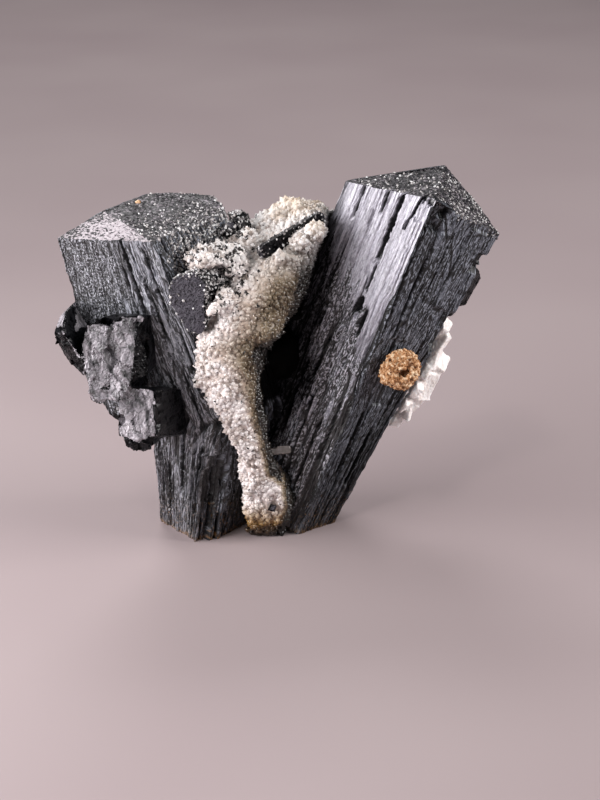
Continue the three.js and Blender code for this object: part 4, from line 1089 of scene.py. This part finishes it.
def druse_quartz(name, clear):
    """Milky to clear quartz: small glassy crystals, cream where thick, rust-stained near the foot, with
    painted shade at the cavity and at the very foot.
    """
    material, tree, shader = new_material(name)
    place = add(tree, "TexCoord").outputs["Object"]
    split = add(tree, "SeparateXYZ", place).outputs
    tone = add(tree, "TexNoise", place, Scale=apart(5.882), Detail=3, Roughness=0.6)
    each = add(tree, "NewGeometry").outputs["Random Per Island"]
    spread, start = (0.5, -0.25) if clear else (0.0, -0.14)
    varied = add(tree, "Math", each, spread, start, operation="MULTIPLY_ADD")
    mixed = add(tree, "Math", tone, varied, operation="ADD")
    body = add(tree, "ValToRGB", mixed, stops=[(0.16, "#948981"), (0.32, "#e6dcd5"), (0.5, "#fffcfa")])
    # how far inside the crust's right-hand border a spot lies; past the border the crust is painted near
    # black, with less shine, as the shade of the cavity
    tallest, widest = 70.0, 20.0
    level = add(tree, "Math", split["Z"], 1 / (tallest * MM), operation="MULTIPLY")
    edge = add(tree, "ValToRGB", level, stops=[(z / tallest, 0.5 + x / widest) for z, x in CRUST_EDGE])
    edge_x = add(tree, "MapRange", edge, 0.0, 1.0, -0.5 * widest * MM, 0.5 * widest * MM)
    inside = add(tree, "Math", edge_x, split["X"], operation="SUBTRACT")
    beyond = add(tree, "MapRange", inside, -0.4 * MM, -1.8 * MM)
    near = add(tree, "MapRange", split["Y"], 11 * MM, 8 * MM)
    shadow = add(tree, "Math", beyond, near, operation="MULTIPLY")
    # painted shade and tan colour: beside the cavity the crust is painted dark as shade, then tan, fading to
    # cream further in
    wobble = add(tree, "Math", tone, 8 * MM, -4 * MM, operation="MULTIPLY_ADD")
    steeper = add(tree, "MapRange", split["Z"], 18 * MM, 42 * MM, 10.0, 1.0)
    deep_in = add(tree, "Math", inside, steeper, wobble, operation="MULTIPLY_ADD")
    run = add(tree, "MapRange", deep_in, 0.0, 12 * MM)
    shade_and_tan = add(tree, "ValToRGB", run, stops=[(0.0, "#2b2620"), (0.13, "#6d604e"), (0.4, "#988a74"),
                                             (0.7, "#d4c8bc"), (1.0, "#fffbfa")])
    front = add(tree, "MapRange", split["Y"], 6 * MM, 2 * MM)
    below = add(tree, "MapRange", split["Z"], 61 * MM, 53 * MM)
    zone = add(tree, "Math", front, below, operation="MULTIPLY")
    colour = add(tree, "Mix", zone, A=body, B=shade_and_tan, data_type="RGBA", blend_type="MULTIPLY")
    # some crystals are dark, most of them high up on the left
    dark_spot = add(tree, "TexNoise", place, Scale=apart(0.909), Detail=2)
    dark_spot = add(tree, "Math", varied, 0.42, dark_spot, operation="MULTIPLY_ADD")
    left = add(tree, "MapRange", split["X"], -3 * MM, -7 * MM)
    high = add(tree, "MapRange", split["Z"], 46 * MM, 51 * MM)
    peppered = add(tree, "Math", left, high, operation="MULTIPLY")
    dark_spot = add(tree, "Math", peppered, 0.16, dark_spot, operation="MULTIPLY_ADD")
    specks = add(tree, "MapRange", dark_spot, 0.71, 0.75)
    colour = add(tree, "Mix", specks, A=colour, B=linear("#2c2725"), data_type="RGBA")
    # a warm crest at the top, and rust at the foot whose darkest, lowest part is painted shade
    wavy = add(tree, "Math", tone, 6 * MM, operation="MULTIPLY")
    level = add(tree, "Math", split["Z"], wavy, operation="SUBTRACT")
    crest = add(tree, "MapRange", level, 57.5 * MM, 62.5 * MM, 0.0, 0.75)
    colour = add(tree, "Mix", crest, A=colour, B=linear("#f7dfc0"), data_type="RGBA")
    foot = add(tree, "MapRange", level, -2.2 * MM, 6.2 * MM)
    rust = add(tree, "ValToRGB", foot, stops=[(0.0, "#2b2016"), (0.22, "#5a452a"), (0.38, "#b3935d"),
                                              (0.6, "#e0d2b8"), (1.0, "#ffffff")])
    colour = add(tree, "Mix", 1.0, A=colour, B=rust, data_type="RGBA", blend_type="MULTIPLY")
    colour = add(tree, "Mix", shadow, A=colour, B=linear("#0b0a0a"), data_type="RGBA")
    grain = add(tree, "TexNoise", place, Scale=apart(0.25), Detail=3)
    bump = add(tree, "Bump", Height=grain, Strength=0.2, Distance=0.03 * MM)
    dull = add(tree, "MapRange", shadow, 0.0, 1.0, 0.5, 0.02)
    rough, transmission = (0.06, 0.24) if clear else (0.45, 0.0)
    connect(tree, shader, {"Base Color": colour, "Roughness": rough, "IOR": QUARTZ_IOR, "Normal": bump,
                           "Transmission Weight": transmission, "Specular IOR Level": dull})
    return material


def loose_quartz(name):
    """Loose quartz crystals on the dark faces: small, clear to white, with a glassy shine."""
    material, tree, shader = new_material(name)
    place = add(tree, "TexCoord").outputs["Object"]
    veil = add(tree, "TexNoise", place, Scale=apart(0.4), Detail=2)
    each = add(tree, "NewGeometry").outputs["Random Per Island"]
    value = add(tree, "Math", veil, 0.3, each, operation="MULTIPLY_ADD")
    colour = add(tree, "ValToRGB", value, stops=[(0.1, "#3b393b"), (0.5, "#928d8d"), (0.85, "#e2dddb"),
                                                 (1.0, "#ffffff")])
    connect(tree, shader, {"Base Color": colour, "Roughness": 0.1, "IOR": QUARTZ_IOR,
                           "Transmission Weight": 0.3})
    return material


def ball_grains(name):
    """Granular iron-stained ball: matt tan and orange grains, brown in the hollows."""
    material, tree, shader = new_material(name)
    place = add(tree, "TexCoord").outputs["Object"]
    tone = add(tree, "TexNoise", place, Scale=apart(0.6667), Detail=4, Roughness=0.7)
    each = add(tree, "NewGeometry").outputs["Random Per Island"]
    value = add(tree, "Math", each, 0.26, tone, operation="MULTIPLY_ADD")
    colour = add(tree, "ValToRGB", value, stops=[(0.44, "#4a2b14"), (0.58, "#99673b"), (0.71, "#c9986b"),
                                                 (0.86, "#f4e0c0")])
    bump = add(tree, "Bump", Height=tone, Strength=0.6, Distance=0.1 * MM)
    connect(tree, shader, {"Base Color": colour, "Roughness": 0.8, "Normal": bump})
    return material


def calcite(name):
    """Calcite: white, slightly translucent blocks with a satin shine and faint growth lines."""
    material, tree, shader = new_material(name)
    place = add(tree, "TexCoord").outputs["Object"]
    lines = add(tree, "Mapping", place, Rotation=(0.3, 0.5, 0.4),
                Scale=[apart(size) for size in (0.3846, 1.4286, 2.0)])
    tone = add(tree, "TexNoise", lines, Scale=0.7, Detail=4)
    colour = add(tree, "ValToRGB", tone, stops=[(0.35, "#e8e0dc"), (0.6, "#fdf8f5")])
    bump = add(tree, "Bump", Height=tone, Strength=0.35, Distance=0.08 * MM)
    connect(tree, shader, {"Base Color": colour, "Roughness": 0.45, "IOR": CALCITE_IOR, "Normal": bump,
                           "Subsurface Weight": 0.35, "Subsurface Radius": (1.2 * MM, 1.1 * MM, 1.0 * MM)})
    return material


def clear_quartz(name):
    """Greyish clear quartz bar, glossy, with faint veils inside."""
    material, tree, shader = new_material(name)
    place = add(tree, "TexCoord").outputs["Object"]
    veil = add(tree, "TexNoise", place, Scale=apart(1.111), Detail=3)
    colour = add(tree, "ValToRGB", veil, stops=[(0.35, "#a0968f"), (0.7, "#e0d8d4")])
    rough = add(tree, "MapRange", veil, 0.0, 1.0, 0.05, 0.35)
    connect(tree, shader, {"Base Color": colour, "Roughness": rough, "IOR": QUARTZ_IOR,
                           "Transmission Weight": 0.6})
    return material


# cavity: painted shade, near black where the left crystal's side shows in the dark cavity
ilvaite = striated_ilvaite("ilvaite_striated", "#07080b", ("#26292f", "#666a74", "#989da8"), 0.4, gloss=0.2,
                           mottle=0.6, cavity=((-4.6, 2.4), (27.0, 43.0)))
# painted light: lighter greys than the other faces, and a painted silvery sheen on the upper slabs of this
# face, which faces the light
sheen_painted_ilvaite = striated_ilvaite("ilvaite_face_painted_sheen", "#040507", ("#222329", "#9b9ca9", "#e2e2ec"), 0.34,
                                  sheen=45.0, stops=(0.43, 0.56, 0.76), dim=0.0)
# partly painted reflection: lighter greys than the other faces stand for the grey this face reflects; its
# pitted zone is a real duller surface
dull_lit_ilvaite = striated_ilvaite("ilvaite_dull_face_painted_light", "#07080a", ("#4b4e55", "#b2b4be", "#c9cbd4"), 0.42,
                                grainy=(55.3, 68.0))
# painted sheen: this facet's light grey stands partly for the light it reflects and partly for its frosted
# etching
sheen_painted_etched = etched_ilvaite("ilvaite_end_painted_sheen", "#0b0a0d", "#a79ca2", 0.36, 0.27, 0.45, 0.16,
                               worn=((-38.9, -8.4, 61.2), (0.789, -0.614, 0)))
dusted_end = etched_ilvaite("ilvaite_dusted_end", "#030304", "#131214", 0.42, 0.45, 0.47, 0.14, 0.5)
ilvaite_small = etched_ilvaite("ilvaite_small_crystal", "#020203", "#0c0c0f", 0.28, 0.7, 0.45, gloss=0.08)
matt_end = etched_ilvaite("ilvaite_matt_end", "#201f22", "#45424a", 0.5, 0.13, 0.46, 0.05, 0.2)
fracture_grey = broken_ilvaite("ilvaite_fracture", "#121114", "#bab4ba")
quartz_points = druse_quartz("quartz_points", True)
quartz_mass = druse_quartz("quartz_mass", False)
quartz_dust = loose_quartz("quartz_dust")
brown_grains = ball_grains("iron_stained_grains")
white_calcite = calcite("calcite_blocks")
bar_quartz = clear_quartz("clear_quartz_bar")


# Pieces

def place_piece(piece, slot, *nodes):
    """A piece that takes the place of the solids' nodes."""
    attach(piece, "root")
    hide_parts(*nodes)


def ride_along(piece):
    """A piece that is only in the scene."""
    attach(piece, "root")


def faces_of(bm, *indices):
    """The faces with the given material slots."""
    return [face for face in bm.faces if face.material_index in indices]


def right_roof_share(place, normal):
    """Dust lies thickest along the lower edge of the right-hand facet."""
    low = min(1.0, max(0.0, (68.5 - place.z) / 9))
    return (0.14 + 1.7 * low) * (0.1 + 1.1 * clumps(place, 2.2))


def right_rim_share(place, normal):
    """Dust that spills over the roof's right-hand edges."""
    if place.x < 27 or normal.y > 0.3:
        return 0
    below = plane_height(RIGHT_ROOF[1], place.x - SHIFT[0], place.y - SHIFT[1]) - place.z
    return max(0.0, 1 - below / (0.6 + 1.6 * clumps(place, 1.6)))


def left_side_share(place, normal):
    """Dust on the left crystal's right side, next to the quartz."""
    high = min(1.0, max(0.0, (place.z - 46) / 9))
    near = min(1.0, max(0.0, (place.y + 10.5) / 5))
    return high * near * (0.3 + clumps(place, 1.6)) if normal.x > 0.25 and place.z > 46 else 0


def left_roof_share(place, normal):
    """Dust thickens from the rear of the facet to its front and right edges."""
    near = (place.x + 22.6) / 14 + (-1.4 - place.y) / 14
    return min(1.0, max(0.03, 0.3 + 0.95 * near)) * (0.2 + clumps(place, 2.5))


right_body = right_crystal()
left_body = left_crystal()
# Each dust: name, body, its materials, crystals a square mm, sizes in mm, share and seed
for name, body, parts, *settings in (
    ("right_roof_dust", right_body, (1, 2), 4.6, (0.14, 0.4), right_roof_share, 31),
    ("right_rim_dust", right_body, (0,), 6.0, (0.15, 0.42), right_rim_share, 41),
    ("left_roof_dust", left_body, (2,), 5.6, (0.13, 0.42), left_roof_share, 32),
    ("left_side_dust", left_body, (0,), 11.0, (0.2, 0.5), left_side_share, 42),
):
    ride_along(dust(name, faces_of(body, *parts), *settings))
right = shown("right_crystal_fine", right_body, [ilvaite, dusted_end, dusted_end, sheen_painted_ilvaite])
place_piece(right, "ilvaite", "right_crystal")
left = shown("left_crystal_fine", left_body, [ilvaite, sheen_painted_etched, dusted_end, dull_lit_ilvaite])
place_piece(left, "ilvaite", "left_crystal")
cluster = side_cluster([fracture_grey, ilvaite_small])
place_piece(cluster, "broken_ilvaite", "side_cluster")


def cut_flat(bm, point, way):
    """Flattens what stands out beyond a plane: a point on it, mm, and its way out."""
    for vert in bm.verts:
        beyond = (vert.co / MM - point).dot(way)
        if beyond > 0:
            vert.co -= way * (beyond * MM)
    bm.normal_update()


# Small moves that seat the crystals on the finished surfaces, mm
NUDGES = {
    "middle_crystal": (-1.0, -0.3, 0), "back_crystal": (-0.7, -0.2, 0), "foot_crystal": (0.2, 1.2, 2.3),
}


def dusted_crystal(node, axis, per_mm2, share, seed, **detail):
    """A small dark crystal with quartz sprinkled over it."""
    bm = dark_crystal(node, axis, **detail)
    bmesh.ops.translate(bm, verts=bm.verts, vec=Vector(NUDGES.get(node, (0, 0, 0))) * MM)
    if node == "middle_crystal":
        cut_flat(bm, Vector((-20.0, 0, 49.8)), Vector((-0.815, 0, -0.58)))
        cut_flat(bm, Vector((-12.7, 0, 47.0)), Vector((0.86, 0, -0.51)))
    if per_mm2:
        ride_along(dust(f"{node}_dust", bm.faces, per_mm2, (0.18, 0.45), share, seed))
    place_piece(shown(f"{node}_fine", bm, [ilvaite_small, matt_end]), "ilvaite", node)


def middle_share(place, normal):
    """The flat end stays nearly clean; the sides and the rim are thickly covered."""
    if normal.y > -0.75:
        return 0.9
    rim = max(abs(place.x + 16.6) / 3.9, abs(place.z - 50.4) / 5.6)
    return 0.012 + 0.8 * min(1.0, max(0.0, (rim - 0.78) / 0.22)) * clumps(place, 1.2)


def knob_share(place, normal):
    """Dust lies thick all over the knob, a little thinner between its clumps."""
    return 0.25 + 0.75 * clumps(place, 1.5)


def blade_share(place, normal):
    """The blade dips under the quartz past its middle."""
    wander = noise.noise(place)
    covered = 1.8 + wander < place.x < 4.8 + wander and normal.z < 0.5
    return max(0.9 if covered else 0.0, 0.35 * clumps(place, 1.3) ** 2)


dusted_crystal("middle_crystal", (0.45, 0.9, 0), 8.0, middle_share, 33)
dusted_crystal("top_knob", (-0.25, 0.1, 1), 9.0, knob_share, 34, voxel=0.16)
dusted_crystal("blade_crystal", (0.8, 0.44, 0.36), 7.0, blade_share, 35, voxel=0.16)
dusted_crystal("back_crystal", (0.5, 0.35, 0.8), 0, None, 36, voxel=0.16)
dusted_crystal("foot_crystal", (0.2, -1, 0.5), 0, None, 37, voxel=0.1, deep=0.05)
druse_body = druse_skin()
for crystals in druse_crystals(druse_body, [quartz_points]):
    ride_along(crystals)
druse = shown("quartz_druse_fine", druse_body, [quartz_mass])
place_piece(druse, "quartz", "quartz_druse")
ball, ball_coat = grain_ball([brown_grains])
place_piece(ball, "brown_grains", "brown_ball")
ride_along(ball_coat)
crust = calcite_crust([white_calcite])
place_piece(crust, "calcite", "white_crust")
grain_place = Matrix.Translation(Vector((-25.9, 5.0, 63.9)) * MM)
grain_place = grain_place @ Matrix.Diagonal((1.1 * MM, 1.0 * MM, 0.8 * MM, 1))
lone_grain = copies("orange_grain", rough_grain(2, 6), [grain_place], [brown_grains])
ride_along(lone_grain)
bar = clear_bar([bar_quartz])
place_piece(bar, "clear_quartz", "bridge_crystal")


# Camera, floor and light

CAMERA_PLACE = (0.0034, -0.3069, 0.1514)
LOOKS_DOWN = 22.0  # degrees
FOCAL_LENGTH = 80.19  # mm, on a sensor as high as 36 mm: the photograph's field of view

camera_data = bpy.data.cameras.new("photo_camera")
camera_data.lens = FOCAL_LENGTH
camera_data.sensor_width = 36.0
camera_data.clip_start = 0.01
camera = bpy.data.objects.new("photo_camera", camera_data)
camera.location = CAMERA_PLACE
camera.rotation_euler = (math.radians(90.0 - LOOKS_DOWN), 0.0, 0.0)
bpy.context.scene.collection.objects.link(camera)
bpy.context.scene.camera = camera


def floor_material():
    """A matt pale board: the plain floor under the specimen."""
    material, tree, shader = new_material("pale_board")
    place = add(tree, "TexCoord").outputs["Object"]
    grain = add(tree, "TexNoise", place, Scale=apart(111), Detail=2)
    colour = add(tree, "ValToRGB", grain, stops=[(0.3, "#938586"), (0.7, "#9a8d8d")])
    connect(tree, shader, {"Base Color": colour, "Roughness": 0.8})
    return material


def pale_floor():
    """The plain floor that the specimen stands on."""
    bm = bmesh.new()
    bmesh.ops.create_grid(bm, x_segments=8, y_segments=8, size=5.0)
    floor = shown("floor", bm, [floor_material()])


pale_floor()


def soft_light(name, direction, distance, size, power, colour=(1, 1, 1)):
    """A soft box that looks at the specimen's middle."""
    data = bpy.data.lights.new(name, "AREA")
    data.shape = "RECTANGLE"
    data.size, data.size_y = size
    data.energy = power
    data.color = colour
    light = bpy.data.objects.new(name, data)
    middle = Vector((0, 0, 0.035))
    aim = Vector(direction).normalized()
    light.location = middle + aim * distance
    light.rotation_euler = (-aim).to_track_quat("-Z", "Y").to_euler()
    bpy.context.scene.collection.objects.link(light)


soft_light("left_box", (-0.93, -0.34, 0.3), 0.27, (0.26, 0.24), 1.7, (1.0, 0.97, 0.99))
soft_light("rear_box", (-0.2, 0.66, 0.76), 0.9, (0.42, 0.3), 4.0, (1.0, 0.97, 0.98))
soft_light("right_box", (0.9, -0.12, 0.38), 0.6, (0.3, 0.3), 3.9, (1.0, 0.97, 0.97))
soft_light("front_spot", (-0.25, -0.6, 0.9), 1.0, (0.12, 0.12), 1.4, (1.0, 0.96, 0.92))
world = bpy.data.worlds.new("room")
world.use_nodes = True
world.node_tree.nodes["Background"].inputs["Color"].default_value = (0.5, 0.52, 0.57, 1)
world.node_tree.nodes["Background"].inputs["Strength"].default_value = 0.22
bpy.context.scene.world = world
bpy.context.scene.view_settings.view_transform = "Standard"
